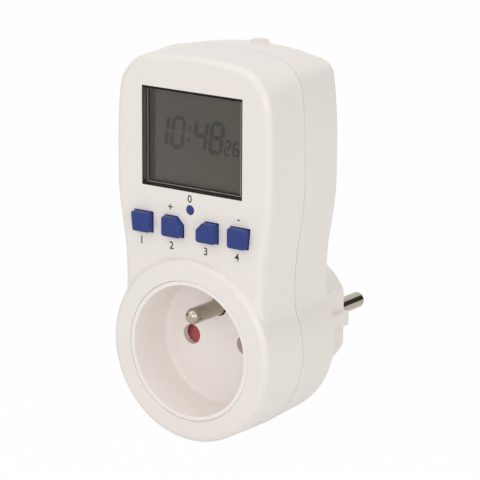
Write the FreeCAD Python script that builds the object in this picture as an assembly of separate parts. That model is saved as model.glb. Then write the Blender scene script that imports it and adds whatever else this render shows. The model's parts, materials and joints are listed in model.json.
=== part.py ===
"""Plug-in digital timer switch with an earthed plug at the back and an earthed socket at the front.

Millimetres. X to the right seen from the front, Y into the wall, Z up. The origin is the middle of
the plug's flat end face, halfway between the two pins, so everything but the pins has a negative Y.
"""
import FreeCAD, Part
import math
import os

V = FreeCAD.Vector
X_AXIS = V(1, 0, 0)
Y_AXIS = V(0, 1, 0)
Z_AXIS = V(0, 0, 1)

# Depths of the case along Y
BOSS_LENGTH = 19.3
REAR_DEPTH = 19.0
FRONT_DEPTH = 16.5
RING_STEP = 1.5
WALL = 2.0

# Outline of the case at the seam
RING_R = 27.45
NECK_R = 16.0
NECK_BITE = 0.05
WAIST_IN = 3.1
WAIST_HALF = RING_R - WAIST_IN
WAIST_Z = 19.0
BELLY_SWELL = 3.05
BELLY_HALF = WAIST_HALF + BELLY_SWELL
BELLY_LOW_Z = 49.8
BELLY_HIGH_Z = 58.7
SHOULDER_R = 136.0
TOP_Z = 86.1
TOP_R = 94.0
FRONT_CORNER_R = 13.0
SEAM_CORNER_R = 11.0
REAR_CORNER_R = 6.0
FRONT_TAPER = 0.5
FRONT_RING_TAPER = 0.4
REAR_TAPER = 0.8
REAR_TOP_DROP = 0.8
FRONT_ROUND = 2.1
RING_ROUND = 1.9
REAR_ROUND = 2.2
END_STRAIGHT = 0.3
LIP_HEIGHT = 1.4
LIP_WALL = 0.9
LIP_PLAY = 0.1
SEAM_GROOVE_W = 0.15
SEAM_GROOVE_D = 0.35

# How far a cutting tool reaches past what it cuts, and a post into the wall it stands on
OVER = 1.0
BITE = 0.1

# Socket: pin pitch, recess and earth pin follow the standard
PIN_PITCH = 19.0
PIN_R = 2.4
PIN_LENGTH = 19.0
PIN_TIP_ROUND = 1.7
EARTH_Z = 9.9
RECESS_R = 19.35
RECESS_FLOOR_R = 18.7
RECESS_DEPTH = 14.8
RECESS_ROUND = 1.5
INSERT_R = 20.55
INSERT_GAP = 0.12
INSERT_BODY_R = 20.3
INSERT_FLANGE_REACH = 1.5
INSERT_FLANGE_T = 1.5
INSERT_SUNK = 0.1
FLOOR_T = 2.1
CONTACT_HOLE_R = 2.97
EARTH_HOLE_R = 2.75
EARTH_STAND = 14.47
EARTH_SHANK_R = 2.2

# Safety shutter behind the contact holes
SHUTTER_HALF_X = 13.1
SHUTTER_HALF_Z = 3.4
SHUTTER_THIN = 1.4
SHUTTER_THICK = 3.0
SHUTTER_PLAY = 0.3
SHUTTER_ROUND = 0.3
SPRING_R = 1.35
SPRING_WIRE_R = 0.2
SPRING_TURNS = 7
SPRING_END_GAP = 0.15
CHAMBER_R = 16.9
RETAINER_RIM = 1.0
RETAINER_T = 1.2
RETAINER_SCREW_X = 13.6
RETAINER_SCREW_Z = 8.6
RETAINER_SCREW_DEPTH = 1.4
RETAINER_PILLAR_R = 1.8

# Live parts
CONTACT_R = 3.3
CONTACT_BORE_R = 2.45
CONTACT_SLOT = 0.8
CONTACT_FLANGE_R = 4.2
CONTACT_GAP = 1.1
CONTACT_END_WALL = 1.5
CONTACT_EYE_WALL = 1.2
BAR_T = 0.9
BAR_WIDTH = 5.0
BAR_DROP = 3.0
BAR_RISE = 3.0
BLOCK_R = 20.0
BLOCK_T = 9.0
BLOCK_FLOOR = 3.0
PLAY = 0.05
LOOSE = 0.2

# Plug
BOSS_R = 18.35
BOSS_BORE_R = 14.4
BOSS_EDGE = 0.8
PLUG_FACE_T = 4.0
FLAT_X = 16.1
FLAT_LENGTH = 9.6
FLAT_RIB = 2.0
FLAT_HALF = 8.8
SHANK_R = 2.65
COLLAR_R = 3.6
COLLAR_T = 1.5
CARRIER_T = 4.0
CARRIER_SCREW_X = 5.5
CARRIER_SCREW_Z = -10.6
CARRIER_SCREW_DEPTH = 2.4
CARRIER_EDGE_PLAY = 0.1
EARTH_ENTRY_R = 2.75
SLEEVE_R = 3.2
SLEEVE_BORE_R = 2.5
SLEEVE_LENGTH = 10.3
SLEEVE_FLOOR = 1.0
EARTH_BAR_T = 0.9
CLIP_WIDTH = 5.6
CLIP_T = 0.8
CLIP_LENGTH = 11.0
CLIP_SLOT_PLAY = 0.2
CLIP_POCKET_PLAY = 0.6
CLIP_SUNK = 0.45
CLIP_SETBACK = 2.0
CLIP_SLEEVE_GAP = 0.15
EARTH_BAR_EDGE = 0.5

# Back of the case
LABEL_W = 30.0
LABEL_H = 24.0
LABEL_Z = 54.0
LABEL_DEPTH = 0.4
LABEL_CORNER = 1.5
NUB_BASE_HALF = 3.5
NUB_TOP_HALF = 1.8
NUB_RISE = 0.9
NUB_ROOT = 2.3
NUB_LENGTH = 3.4
NUB_SETBACK = 0.8

# Display
WINDOW_W = 34.85
WINDOW_H = 28.85
WINDOW_Z = 60.85
WINDOW_PLAY = 0.1
WINDOW_RECESS = 0.15
WINDOW_LIP_T = 0.8
FRAME_BORDER = 1.175
FRAME_LIP_IN = 0.175
FRAME_MASK = 0.7
FRAME_MASK_T = 0.7
FRAME_SIDE = 0.6
LCD_T = 2.2
STRIP_H = 2.3
STRIP_W = 1.6
STRIP_END_GAP = 2.6

# Boards
BOARD_T = 1.6
BOARD_SIDE_GAP = 2.3
BOARD_TOP_GAP = 4.7
BOARD_LOW = 29.5
BOARD_CORNER = 3.0
POST_R = 1.6
BOARD_SIDE_SCREW_IN = 1.6
BOARD_SIDE_SCREW_Z = 42.3
BOARD_TOP_SCREW_X = 12.0
BOARD_TOP_SCREW_IN = 1.3
BOARD_SCREW_END_GAP = 1.0
POWER_SIDE_GAP = 3.5
POWER_TOP_GAP = 5.2
POWER_LOW = 24.5
POWER_STAND = 3.9
POWER_SCREW_IN = 2.8
POWER_SCREW_LOW_Z = 34.0
POWER_SCREW_TOP_IN = 3.8
POWER_SCREW_END_GAP = 0.8
POST_NOTCH_PLAY = 0.4
SMALL_SCREW_R = 0.75
SMALL_HEAD_R = 1.45
SMALL_HEAD_T = 1.0
SCREW_HOLE_PLAY = 0.15
PILOT_FLOOR = 0.5
HEAD_ROUND_SHARE = 0.3
CROSS_REACH_SHARE = 0.62
CROSS_WIDTH_SHARE = 0.14

# On the control board
CHIP_R = 6.0
CHIP_T = 1.6
CHIP_ROUND = 1.2
CHIP_X = -8.0
CHIP_Z = 62.0
CRYSTAL_W = 10.6
CRYSTAL_H = 4.4
CRYSTAL_T = 3.4
CRYSTAL_CORNER = 2.0
CRYSTAL_Z = 50.5
BATTERY_R = 5.8
BATTERY_T = 5.4
BATTERY_ROUND = 0.6
BATTERY_X = 11.5
BATTERY_Z = 68.5
TAB_T = 0.3
TAB_HALF = 2.0
TAB_FRONT_REACH = 9.0
TAB_LEG_REACH = 7.5
LINK_PITCH = 2.54
LINK_PINS = 6
LINK_PIN_HALF = 0.32
LINK_Z = 31.4
LINK_BODY_T = 2.5
LINK_BODY_HALF = 1.25

# On the power board
RELAY_SIDE_GAP = 2.3
RELAY_Z = 60.0
RELAY_W = 15.0
RELAY_H = 19.0
RELAY_DEPTH = 15.0
RELAY_BASE_T = 2.0
RELAY_WALL = 0.8
COIL_R = 4.6
COIL_DROP = 1.6
COIL_FLANGE = 0.9
COIL_FLANGE_T = 0.8
COIL_CORE_PROUD = 0.6
CORE_R = 2.2
YOKE_T = 1.1
YOKE_HALF = 4.5
YOKE_REACH = 7.0
ARMATURE_HALF = 4.2
ARMATURE_REACH = 6.5
ARMATURE_FRONT_GAP = 1.6
ARMATURE_GAP = 0.9
SMOOTHING_R = 3.9
SMOOTHING_DEPTH = 11.5
SMOOTHING_ROUND = 0.5
SMOOTHING_EDGE_GAP = 0.1
SMOOTHING_Z = 50.0
DROPPER_W = 8.5
DROPPER_H = 17.0
DROPPER_DEPTH = 13.5
DROPPER_ROUND = 0.6
DROPPER_GAP = 0.6
DROPPER_Z = 41.9
VARISTOR_R = 5.0
VARISTOR_T = 3.6
VARISTOR_Z = 41.0
DIODE_LENGTH = 5.0
DIODE_HALF = 1.2
DIODE_DEPTH = 2.4
DIODE_PITCH = 3.2
DIODE_X = 4.5
DIODE_Z = 64.0
DIODE_COUNT = 4

# Keys
KEY_W = 6.6
KEY_H = 5.8
KEY_Z = 35.7
KEY_INNER_SHARE = 0.248
KEY_OUTER_SHARE = 0.692
KEY_PROUD = 2.1
KEY_GAP = 0.22
KEY_CORNER = 0.8
KEY_SLANT = 0.55
KEY_CUT = 2.2
KEY_EDGE = 0.45
KEY_FLANGE = 0.8
KEY_FLANGE_T = 1.0
KEY_PLAY = 0.2
KEY_STEM = 3.2
RESET_R = 1.25
RESET_X = -0.5
RESET_Z = 41.2
RESET_SUNK = 0.15
RESET_FLANGE = 0.9
RESET_STEM_R = 0.9
DOME_H = 2.2
DOME_BASE_R = 2.8
DOME_TOP_R = 1.9
DOME_SKIN = 0.6
RESET_DOME_BASE_R = 1.7
RESET_DOME_TOP_R = 1.2

# Case screws
CASE_SCREW_R = 1.1
CASE_HEAD_R = 2.1
CASE_HEAD_T = 1.5
CASE_WELL_PLAY = 0.3
CASE_WELL_DEPTH = 8.0
CASE_POST_WALL = 1.0
CASE_GRIP = 6.0
CASE_SCREW_IN = 5.7
CASE_SCREW_LOW_Z = 25.6
CASE_SCREW_TOP_IN = 7.4

# Places that follow from the sizes above
BACK_Y = -BOSS_LENGTH
SEAM_Y = BACK_Y - REAR_DEPTH
UPPER_Y = SEAM_Y - FRONT_DEPTH
RING_Y = UPPER_Y - RING_STEP
PIN_X = PIN_PITCH / 2
FRONT_INSIDE_Y = UPPER_Y + WALL
RING_INSIDE_Y = RING_Y + WALL
BACK_INSIDE_Y = BACK_Y - WALL
PLUG_INSIDE_Y = -PLUG_FACE_T

INSERT_FLANGE_R = INSERT_BODY_R + INSERT_FLANGE_REACH
FLOOR_Y = RING_Y + RECESS_DEPTH
FLOOR_BACK_Y = FLOOR_Y + FLOOR_T
SHUTTER_Y = FLOOR_BACK_Y + SHUTTER_PLAY
SHUTTER_BACK_Y = SHUTTER_Y + SHUTTER_THICK
RETAINER_Y = SHUTTER_BACK_Y + SHUTTER_PLAY
RETAINER_BACK_Y = RETAINER_Y + RETAINER_T

WINDOW_LIP = FRAME_BORDER - FRAME_LIP_IN
FRAME_W = WINDOW_W + 2 * FRAME_BORDER
FRAME_H = WINDOW_H + 2 * FRAME_BORDER
STRIP_LENGTH = FRAME_W - 2 * STRIP_END_GAP
FRAME_Y = FRONT_INSIDE_Y + WINDOW_LIP_T
LCD_Y = FRAME_Y + FRAME_MASK_T
LCD_BACK_Y = LCD_Y + LCD_T
BOARD_Y = LCD_BACK_Y + STRIP_H
BOARD_BACK_Y = BOARD_Y + BOARD_T
POWER_BACK_Y = BACK_INSIDE_Y - POWER_STAND
POWER_Y = POWER_BACK_Y - BOARD_T

INSIDE_HALF = WAIST_HALF - WALL
BOARD_HALF = INSIDE_HALF - BOARD_SIDE_GAP
BOARD_HIGH = TOP_Z - WALL - BOARD_TOP_GAP
POWER_HALF = INSIDE_HALF - POWER_SIDE_GAP
POWER_HIGH = TOP_Z - WALL - POWER_TOP_GAP
BOARD_SCREWS = [
    (-(BOARD_HALF - BOARD_SIDE_SCREW_IN), BOARD_SIDE_SCREW_Z),
    (BOARD_HALF - BOARD_SIDE_SCREW_IN, BOARD_SIDE_SCREW_Z),
    (-BOARD_TOP_SCREW_X, BOARD_HIGH - BOARD_TOP_SCREW_IN),
    (BOARD_TOP_SCREW_X, BOARD_HIGH - BOARD_TOP_SCREW_IN),
]
POWER_SCREWS = [
    (-(POWER_HALF - POWER_SCREW_IN), POWER_SCREW_LOW_Z),
    (POWER_HALF - POWER_SCREW_IN, POWER_SCREW_LOW_Z),
    (-(POWER_HALF - POWER_SCREW_IN), POWER_HIGH - POWER_SCREW_TOP_IN),
    (POWER_HALF - POWER_SCREW_IN, POWER_HIGH - POWER_SCREW_TOP_IN),
]
CASE_SCREWS = [
    (-(INSIDE_HALF - CASE_SCREW_IN), CASE_SCREW_LOW_Z),
    (INSIDE_HALF - CASE_SCREW_IN, CASE_SCREW_LOW_Z),
    (0.0, TOP_Z - CASE_SCREW_TOP_IN),
]

RELAY_X = -(POWER_HALF - RELAY_SIDE_GAP - RELAY_W / 2)
RELAY_FRONT_Y = POWER_Y - RELAY_DEPTH
RELAY_BASE_Y = POWER_Y - RELAY_BASE_T
COIL_Z = RELAY_Z - COIL_DROP
ARMATURE_Y = RELAY_FRONT_Y + ARMATURE_FRONT_GAP
ARMATURE_BACK_Y = ARMATURE_Y + YOKE_T
HINGE_Z = RELAY_Z + YOKE_REACH
SMOOTHING_X = POWER_HALF - SMOOTHING_R - SMOOTHING_EDGE_GAP
DROPPER_X = SMOOTHING_X - SMOOTHING_R - DROPPER_GAP - DROPPER_W

BLOCK_Y = BACK_INSIDE_Y - BLOCK_T
REAR_BAR_Y = BACK_INSIDE_Y - PLAY - BAR_T
PIN_ROOT_Y = REAR_BAR_Y + BAR_T
COLLAR_Y = PLUG_INSIDE_Y - COLLAR_T
CARRIER_Y = COLLAR_Y - CARRIER_T
SLEEVE_END_Y = PLUG_INSIDE_Y - PLAY
EARTH_BAR_BACK_Y = SLEEVE_END_Y - SLEEVE_LENGTH
EARTH_BAR_Y = EARTH_BAR_BACK_Y - EARTH_BAR_T
KEY_INNER_X = KEY_INNER_SHARE * WAIST_HALF
KEY_OUTER_X = KEY_OUTER_SHARE * WAIST_HALF
KEY_FLANGE_Y = FRONT_INSIDE_Y + KEY_PLAY
DOME_Y = BOARD_Y - DOME_H


def block(x0, x1, y0, y1, z0, z1):
    """A box between two corners."""
    return Part.makeBox(x1 - x0, y1 - y0, z1 - z0, V(x0, y0, z0))


def rod(radius, y0, y1, x=0.0, z=0.0):
    """A round bar along Y."""
    return Part.makeCylinder(radius, y1 - y0, V(x, y0, z), Y_AXIS)


def cone(r0, r1, y0, y1, x=0.0, z=0.0):
    """A round bar along Y whose radius changes from r0 at y0 to r1 at y1, on either side of y0."""
    if r0 == r1:
        return rod(r0, min(y0, y1), max(y0, y1), x, z)
    direction = V(0, math.copysign(1, y1 - y0), 0)
    return Part.makeCone(r0, r1, abs(y1 - y0), V(x, y0, z), direction)


def join(shapes):
    """All shapes fused to one solid with no leftover edges."""
    first = shapes[0]
    for other in shapes[1:]:
        first = first.fuse(other)
    return first.removeSplitter()


def cut_all(shape, tools):
    """The shape less every tool."""
    for tool in tools:
        shape = shape.cut(tool)
    return shape


def round_edges(shape, radius, wanted):
    """Round the edges for which wanted(edge) is true."""
    return shape.makeFillet(radius, [edge for edge in shape.Edges if wanted(edge)])


def lies_on_y(edge, y):
    """True for an edge whose whole length is at the depth y."""
    box = edge.BoundBox
    return abs(box.YMin - y) < 1e-4 and abs(box.YMax - y) < 1e-4


def runs_along_y(edge):
    """True for an edge parallel to Y."""
    box = edge.BoundBox
    return box.XLength < 1e-4 and box.ZLength < 1e-4


def rounded_plate(width, height, y0, y1, x, z, corner):
    """A plate across Y with rounded corners, centred on x and z."""
    plate = block(x - width / 2, x + width / 2, y0, y1, z - height / 2, z + height / 2)
    return round_edges(plate, corner, runs_along_y)


def meeting_point(a, ra, b, rb, side):
    """Where circles of radius ra about a and rb about b meet, on the given side of the line a to b."""
    gap = math.dist(a, b)
    along = (ra * ra - rb * rb + gap * gap) / (2 * gap)
    across = side * math.sqrt(ra * ra - along * along)
    ux = (b[0] - a[0]) / gap
    uz = (b[1] - a[1]) / gap
    return (a[0] + along * ux - across * uz, a[1] + along * uz + across * ux)


def towards(a, b, distance):
    """The point at a distance from a on the line towards b."""
    gap = math.dist(a, b)
    return (a[0] + (b[0] - a[0]) * distance / gap, a[1] + (b[1] - a[1]) * distance / gap)


def arc_between(start, end, centre, radius, y):
    """The short arc about centre from start to end, in the plane at y."""
    middle = towards(centre, ((start[0] + end[0]) / 2, (start[1] + end[1]) / 2), radius)
    return Part.Arc(V(start[0], y, start[1]), V(middle[0], y, middle[1]), V(end[0], y, end[1])).toShape()


def corner_at(y):
    """Corner radius of the outline at a depth, from the round front to the squarer back."""
    if y < SEAM_Y:
        share = min((SEAM_Y - y) / (FRONT_DEPTH - FRONT_ROUND - END_STRAIGHT), 1.0)
        return SEAM_CORNER_R + (FRONT_CORNER_R - SEAM_CORNER_R) * share
    share = min((y - SEAM_Y) / (REAR_DEPTH - REAR_ROUND - END_STRAIGHT), 1.0)
    return SEAM_CORNER_R + (REAR_CORNER_R - SEAM_CORNER_R) * share


def head_outline(y, inset, drop=0.0):
    """Outline of the upper part of the case, closed by a chord inside the round lower part.

    From the ring a concave neck arc runs into a long concave waist arc, a convex belly arc, a straight
    side, a long shoulder arc, a corner and the domed top. The inset moves the whole outline inwards and
    keeps it tangent, and the drop lowers the dome.
    """
    rise = BELLY_LOW_Z - WAIST_Z
    swell = BELLY_HALF - WAIST_HALF
    side_r = (swell * swell + rise * rise) / (4 * swell)
    corner_r = corner_at(y)
    waist_c = (WAIST_HALF + side_r, WAIST_Z)
    belly_c = (BELLY_HALF - side_r, BELLY_LOW_Z)
    shoulder_c = (BELLY_HALF - SHOULDER_R, BELLY_HIGH_Z)
    dome_c = (0.0, TOP_Z - drop - TOP_R)
    ring_r = RING_R - NECK_BITE
    neck_c = meeting_point((0.0, 0.0), ring_r + NECK_R, waist_c, side_r - NECK_R, 1)
    corner_c = meeting_point(shoulder_c, SHOULDER_R - corner_r, dome_c, TOP_R - corner_r, 1)
    neck_start = towards((0.0, 0.0), neck_c, ring_r - inset)
    waist_start = towards(waist_c, neck_c, side_r + inset)
    belly_start = towards(waist_c, belly_c, side_r + inset)
    side_start = (BELLY_HALF - inset, BELLY_LOW_Z)
    side_end = (BELLY_HALF - inset, BELLY_HIGH_Z)
    corner_start = towards(shoulder_c, corner_c, SHOULDER_R - inset)
    dome_start = towards(dome_c, corner_c, TOP_R - inset)
    runs = [
        (neck_start, waist_start, neck_c, NECK_R + inset),
        (waist_start, belly_start, waist_c, side_r + inset),
        (belly_start, side_start, belly_c, side_r - inset),
        (side_start, side_end, None, 0.0),
        (side_end, corner_start, shoulder_c, SHOULDER_R - inset),
        (corner_start, dome_start, corner_c, corner_r - inset),
    ]
    edges = [run_edge(start, end, centre, radius, y) for start, end, centre, radius in runs]
    edges.append(run_edge(dome_start, mirrored(dome_start), dome_c, TOP_R - inset, y))
    for start, end, centre, radius in reversed(runs):
        edges.append(run_edge(mirrored(end), mirrored(start), mirrored(centre), radius, y))
    edges.append(run_edge(mirrored(neck_start), neck_start, None, 0.0, y))
    return Part.Wire(edges)


def mirrored(point):
    """A point of the outline on the other side of the middle."""
    return point and (-point[0], point[1])


def run_edge(start, end, centre, radius, y):
    """One run of the outline at a depth: an arc about its centre, or a line if it has none."""
    if centre:
        return arc_between(start, end, centre, radius, y)
    return Part.makeLine(V(start[0], y, start[1]), V(end[0], y, end[1]))


def head_block(y0, inset0, y1, inset1, drop=0.0):
    """The upper part of the case between two depths, with its taper."""
    return Part.makeLoft([head_outline(y0, inset0), head_outline(y1, inset1, drop)], True, True)


def is_outer_rim(edge, y):
    """True for the edges of a head block's end face at y, which leaves out the level chord."""
    return lies_on_y(edge, y) and edge.BoundBox.ZLength > 1e-3


def hollow(y0, inset0, y1, inset1, drop=0.0):
    """The space inside the case between two depths, head and ring together."""
    ring = cone(RING_R - inset0, RING_R - inset1, y0, y1)
    return join([head_block(y0, inset0, y1, inset1, drop), ring])


def head_with_end(seam_y, end_y, taper, rounding, drop):
    """The head from the seam to its end: a tapered length, then a short straight one with a round edge."""
    straight = math.copysign(rounding + END_STRAIGHT, end_y - seam_y)
    foot_y = end_y - straight
    end = Part.Face(head_outline(foot_y, taper, drop)).extrude(V(0, straight, 0))
    end = round_edges(end, rounding, lambda edge: is_outer_rim(edge, end_y))
    return join([head_block(seam_y, 0.0, foot_y, taper, drop), end])


def case_body(seam_y, head_end, ring_end):
    """Head and ring from the seam to their ends. An end is its depth, taper, edge radius and drop.

    The right half is kept and mirrored, so that both sides are the same to the last digit.
    """
    ring_y, ring_taper, ring_round, _ = ring_end
    ring = cone(RING_R, RING_R - ring_taper, seam_y, ring_y)
    ring = round_edges(ring, ring_round, lambda edge: lies_on_y(edge, ring_y))
    body = join([head_with_end(seam_y, *head_end), ring])
    box = body.BoundBox
    half = body.common(block(0.0, box.XMax + OVER, box.YMin - OVER, box.YMax + OVER, box.ZMin - OVER, box.ZMax + OVER))
    return join([half, half.mirror(V(0, 0, 0), X_AXIS)])


def seam_groove(y0, y1):
    """Shallow groove round one cover's edge, so that the seam shows as a fine line."""
    reach = RING_R + TOP_Z
    slab = block(-reach, reach, y0, y1, -reach, reach)
    return slab.cut(hollow(y0 - OVER, SEAM_GROOVE_D, y1 + OVER, SEAM_GROOVE_D))


def key_wire(inner, side, y, grow):
    """Outline of a key cap at a depth, grown outwards by a margin.

    The outer keys narrow downwards on their outer side, as the case does. The inner keys have their
    upper corner next to the reset key cut off. Side is -1 on the left and 1 on the right.
    """
    top = KEY_Z + KEY_H / 2
    bottom = KEY_Z - KEY_H / 2
    if inner:
        near = KEY_INNER_X - KEY_W / 2
        far = KEY_INNER_X + KEY_W / 2
        corners = [(near, bottom), (far, bottom), (far, top), (near + KEY_CUT, top), (near, top - KEY_CUT)]
    else:
        near = KEY_OUTER_X - KEY_W / 2
        far = KEY_OUTER_X + KEY_W / 2
        corners = [(near, bottom), (far - KEY_SLANT, bottom), (far, top), (near, top)]
    points = [V(side * u, y, z) for u, z in corners]
    wire = Part.makePolygon(points + [points[0]])
    if grow:
        wire = wire.makeOffset2D(grow, 0, False, False, False)
    return wire


def key_prism(inner, side, y0, y1, grow):
    """A key outline drawn out along Y."""
    return Part.Face(key_wire(inner, side, y0, grow)).extrude(V(0, y1 - y0, 0))


def key_places():
    """Name, inner or outer, side and middle of the four keys."""
    return [
        ("outer_left", False, -1, -KEY_OUTER_X),
        ("inner_left", True, -1, -KEY_INNER_X),
        ("inner_right", True, 1, KEY_INNER_X),
        ("outer_right", False, 1, KEY_OUTER_X),
    ]


def make_key(inner, side, x):
    """Key cap with rounded edges, a flange that stops it behind the cover and a stem on the dome."""
    front = UPPER_Y - KEY_PROUD
    cap = key_prism(inner, side, front, KEY_FLANGE_Y, 0.0)
    cap = round_edges(cap, KEY_CORNER, runs_along_y)
    cap = round_edges(cap, KEY_EDGE, lambda edge: lies_on_y(edge, front))
    flange = key_prism(inner, side, KEY_FLANGE_Y, KEY_FLANGE_Y + KEY_FLANGE_T, KEY_FLANGE)
    half = KEY_STEM / 2
    stem = block(x - half, x + half, KEY_FLANGE_Y, DOME_Y, KEY_Z - half, KEY_Z + half)
    return join([cap, flange, stem])


def make_reset_key():
    """Small round key that sits a little below the face."""
    cap = rod(RESET_R, UPPER_Y + RESET_SUNK, KEY_FLANGE_Y, RESET_X, RESET_Z)
    flange = rod(RESET_R + RESET_FLANGE, KEY_FLANGE_Y, KEY_FLANGE_Y + KEY_FLANGE_T, RESET_X, RESET_Z)
    stem = rod(RESET_STEM_R, KEY_FLANGE_Y, DOME_Y, RESET_X, RESET_Z)
    return join([cap, flange, stem])


def make_dome(base_r, top_r, x, z):
    """Hollow rubber dome that stands on the board and pushes its key back."""
    outer = cone(top_r, base_r, DOME_Y, BOARD_Y, x, z)
    inner = cone(top_r - DOME_SKIN, base_r - DOME_SKIN, DOME_Y + 2 * DOME_SKIN, BOARD_Y, x, z)
    return outer.cut(inner)


def case_post_r():
    """Outer radius of the rear posts round the screw wells."""
    return CASE_HEAD_R + CASE_WELL_PLAY + CASE_POST_WALL


def front_post_r():
    """Outer radius of the front posts that the case screws bite into."""
    return CASE_SCREW_R + CASE_POST_WALL


def make_front_cover():
    """Front shell: collar round the socket, window, key holes, posts for board and case screws."""
    head_end = (UPPER_Y, FRONT_TAPER, FRONT_ROUND, 0.0)
    ring_end = (RING_Y, FRONT_RING_TAPER, RING_ROUND, 0.0)
    body = case_body(SEAM_Y, head_end, ring_end)
    head_space = head_block(SEAM_Y, WALL, FRONT_INSIDE_Y, WALL + FRONT_TAPER)
    ring_space = cone(RING_R - WALL, RING_R - WALL - FRONT_RING_TAPER, SEAM_Y, RING_INSIDE_Y)
    cover = cut_all(body, [head_space, ring_space])
    posts = []
    for x, z in BOARD_SCREWS:
        posts.append(rod(POST_R, FRONT_INSIDE_Y, BOARD_Y, x, z))
    for x, z in CASE_SCREWS:
        posts.append(rod(front_post_r(), FRONT_INSIDE_Y, SEAM_Y, x, z))
    cover = join([cover] + posts)
    openings = [
        rod(INSERT_R + INSERT_GAP, RING_Y - OVER, RING_INSIDE_Y + OVER),
        block(
            -WINDOW_W / 2, WINDOW_W / 2, UPPER_Y - OVER, FRONT_INSIDE_Y + OVER,
            WINDOW_Z - WINDOW_H / 2, WINDOW_Z + WINDOW_H / 2,
        ),
        rod(RESET_R + KEY_GAP, UPPER_Y - OVER, FRONT_INSIDE_Y + OVER, RESET_X, RESET_Z),
        seam_groove(SEAM_Y - SEAM_GROOVE_W, SEAM_Y + OVER),
    ]
    for _, inner, side, _ in key_places():
        openings.append(key_prism(inner, side, UPPER_Y - OVER, FRONT_INSIDE_Y + OVER, KEY_GAP))
    for x, z in BOARD_SCREWS:
        openings.append(rod(SMALL_SCREW_R + PLAY, FRONT_INSIDE_Y + PILOT_FLOOR, BOARD_Y + OVER, x, z))
    for x, z in CASE_SCREWS:
        openings.append(rod(CASE_SCREW_R + PLAY, SEAM_Y - CASE_GRIP - OVER, SEAM_Y + OVER, x, z))
    return cut_all(cover, openings)


def make_rear_cover():
    """Rear shell with the plug boss, screw wells, board posts and the groove lip at the seam."""
    end = (BACK_Y, REAR_TAPER, REAR_ROUND, REAR_TOP_DROP)
    body = case_body(SEAM_Y, end, end)
    boss = rod(BOSS_R, BACK_Y - WALL, 0.0)
    boss = round_edges(boss, BOSS_EDGE, lambda edge: lies_on_y(edge, 0.0))
    space = hollow(SEAM_Y, WALL, BACK_INSIDE_Y, WALL + REAR_TAPER, REAR_TOP_DROP)
    cover = join([body, boss]).cut(space)
    lip = hollow(SEAM_Y - LIP_HEIGHT, WALL + LIP_PLAY, SEAM_Y + WALL, WALL + LIP_PLAY)
    lip = lip.cut(hollow(SEAM_Y - LIP_HEIGHT, WALL + LIP_WALL, SEAM_Y + WALL, WALL + LIP_WALL))
    additions = [lip, latch_nub()]
    for x, z in CASE_SCREWS:
        additions.append(rod(case_post_r(), SEAM_Y, BACK_INSIDE_Y + BITE, x, z))
    for x, z in POWER_SCREWS:
        additions.append(rod(POST_R, POWER_BACK_Y, BACK_INSIDE_Y + BITE, x, z))
    cover = join([cover] + additions)
    return cut_all(cover, rear_cuts())


def latch_nub():
    """Small rib across the top edge at the very back."""
    height = TOP_Z - REAR_TAPER - REAR_TOP_DROP + NUB_RISE
    foot = height - NUB_ROOT
    y = BACK_Y - NUB_SETBACK - NUB_LENGTH
    outline = [
        V(-NUB_BASE_HALF, y, foot),
        V(NUB_BASE_HALF, y, foot),
        V(NUB_TOP_HALF, y, height),
        V(-NUB_TOP_HALF, y, height),
    ]
    return Part.Face(Part.makePolygon(outline + [outline[0]])).extrude(V(0, NUB_LENGTH, 0))


def rear_cuts():
    """Everything that is cut out of the rear cover."""
    well_r = CASE_HEAD_R + CASE_WELL_PLAY
    cuts = [
        rod(BOSS_BORE_R, BACK_INSIDE_Y - OVER, PLUG_INSIDE_Y),
        rod(EARTH_ENTRY_R, PLUG_INSIDE_Y - OVER, OVER, 0.0, EARTH_Z),
        rounded_plate(LABEL_W, LABEL_H, BACK_Y - LABEL_DEPTH, BACK_Y + OVER, 0.0, LABEL_Z, LABEL_CORNER),
        seam_groove(SEAM_Y, SEAM_Y + SEAM_GROOVE_W),
    ]
    for side in (-1, 1):
        cuts.append(rod(SHANK_R + PLAY, PLUG_INSIDE_Y - OVER, OVER, side * PIN_X))
        cuts.append(rod(SMALL_SCREW_R + PLAY, PLUG_INSIDE_Y - OVER, PLUG_INSIDE_Y + CARRIER_SCREW_DEPTH,
                        side * CARRIER_SCREW_X, CARRIER_SCREW_Z))
        for level in (-1, 1):
            low, high = sorted((level * FLAT_RIB, level * FLAT_HALF))
            left, right = sorted((side * FLAT_X, side * (BOSS_R + OVER)))
            cuts.append(block(left, right, -FLAT_LENGTH, OVER, low, high))
    for level in (-1, 1):
        pocket = CLIP_WIDTH / 2 + CLIP_POCKET_PLAY
        slot = CLIP_WIDTH / 2 + CLIP_SLOT_PLAY
        low, high = sorted((level * (clip_z() - CLIP_T - CLIP_POCKET_PLAY), level * (BOSS_R + OVER)))
        cuts.append(block(-pocket, pocket, clip_leg_y() - CLIP_SLOT_PLAY, OVER, low, high))
        low, high = sorted((level * (BOSS_BORE_R - OVER), level * clip_z()))
        cuts.append(block(-slot, slot, clip_leg_y() - CLIP_SLOT_PLAY, clip_leg_y() + CLIP_T + CLIP_SLOT_PLAY,
                          low, high))
    for x, z in CASE_SCREWS:
        cuts.append(rod(well_r, BACK_Y - CASE_WELL_DEPTH, BACK_Y + OVER, x, z))
        cuts.append(rod(CASE_SCREW_R + SCREW_HOLE_PLAY, SEAM_Y - OVER, BACK_Y, x, z))
    for x, z in POWER_SCREWS:
        cuts.append(rod(SMALL_SCREW_R + PLAY, POWER_BACK_Y - OVER, BACK_INSIDE_Y - PILOT_FLOOR, x, z))
    return cuts


def clip_z():
    """Height of the outer face of the side earth clips, just inside the boss."""
    return BOSS_R - CLIP_SUNK


def clip_leg_y():
    """Front face of the clips' legs."""
    return -CLIP_SETBACK - CLIP_LENGTH


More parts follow.
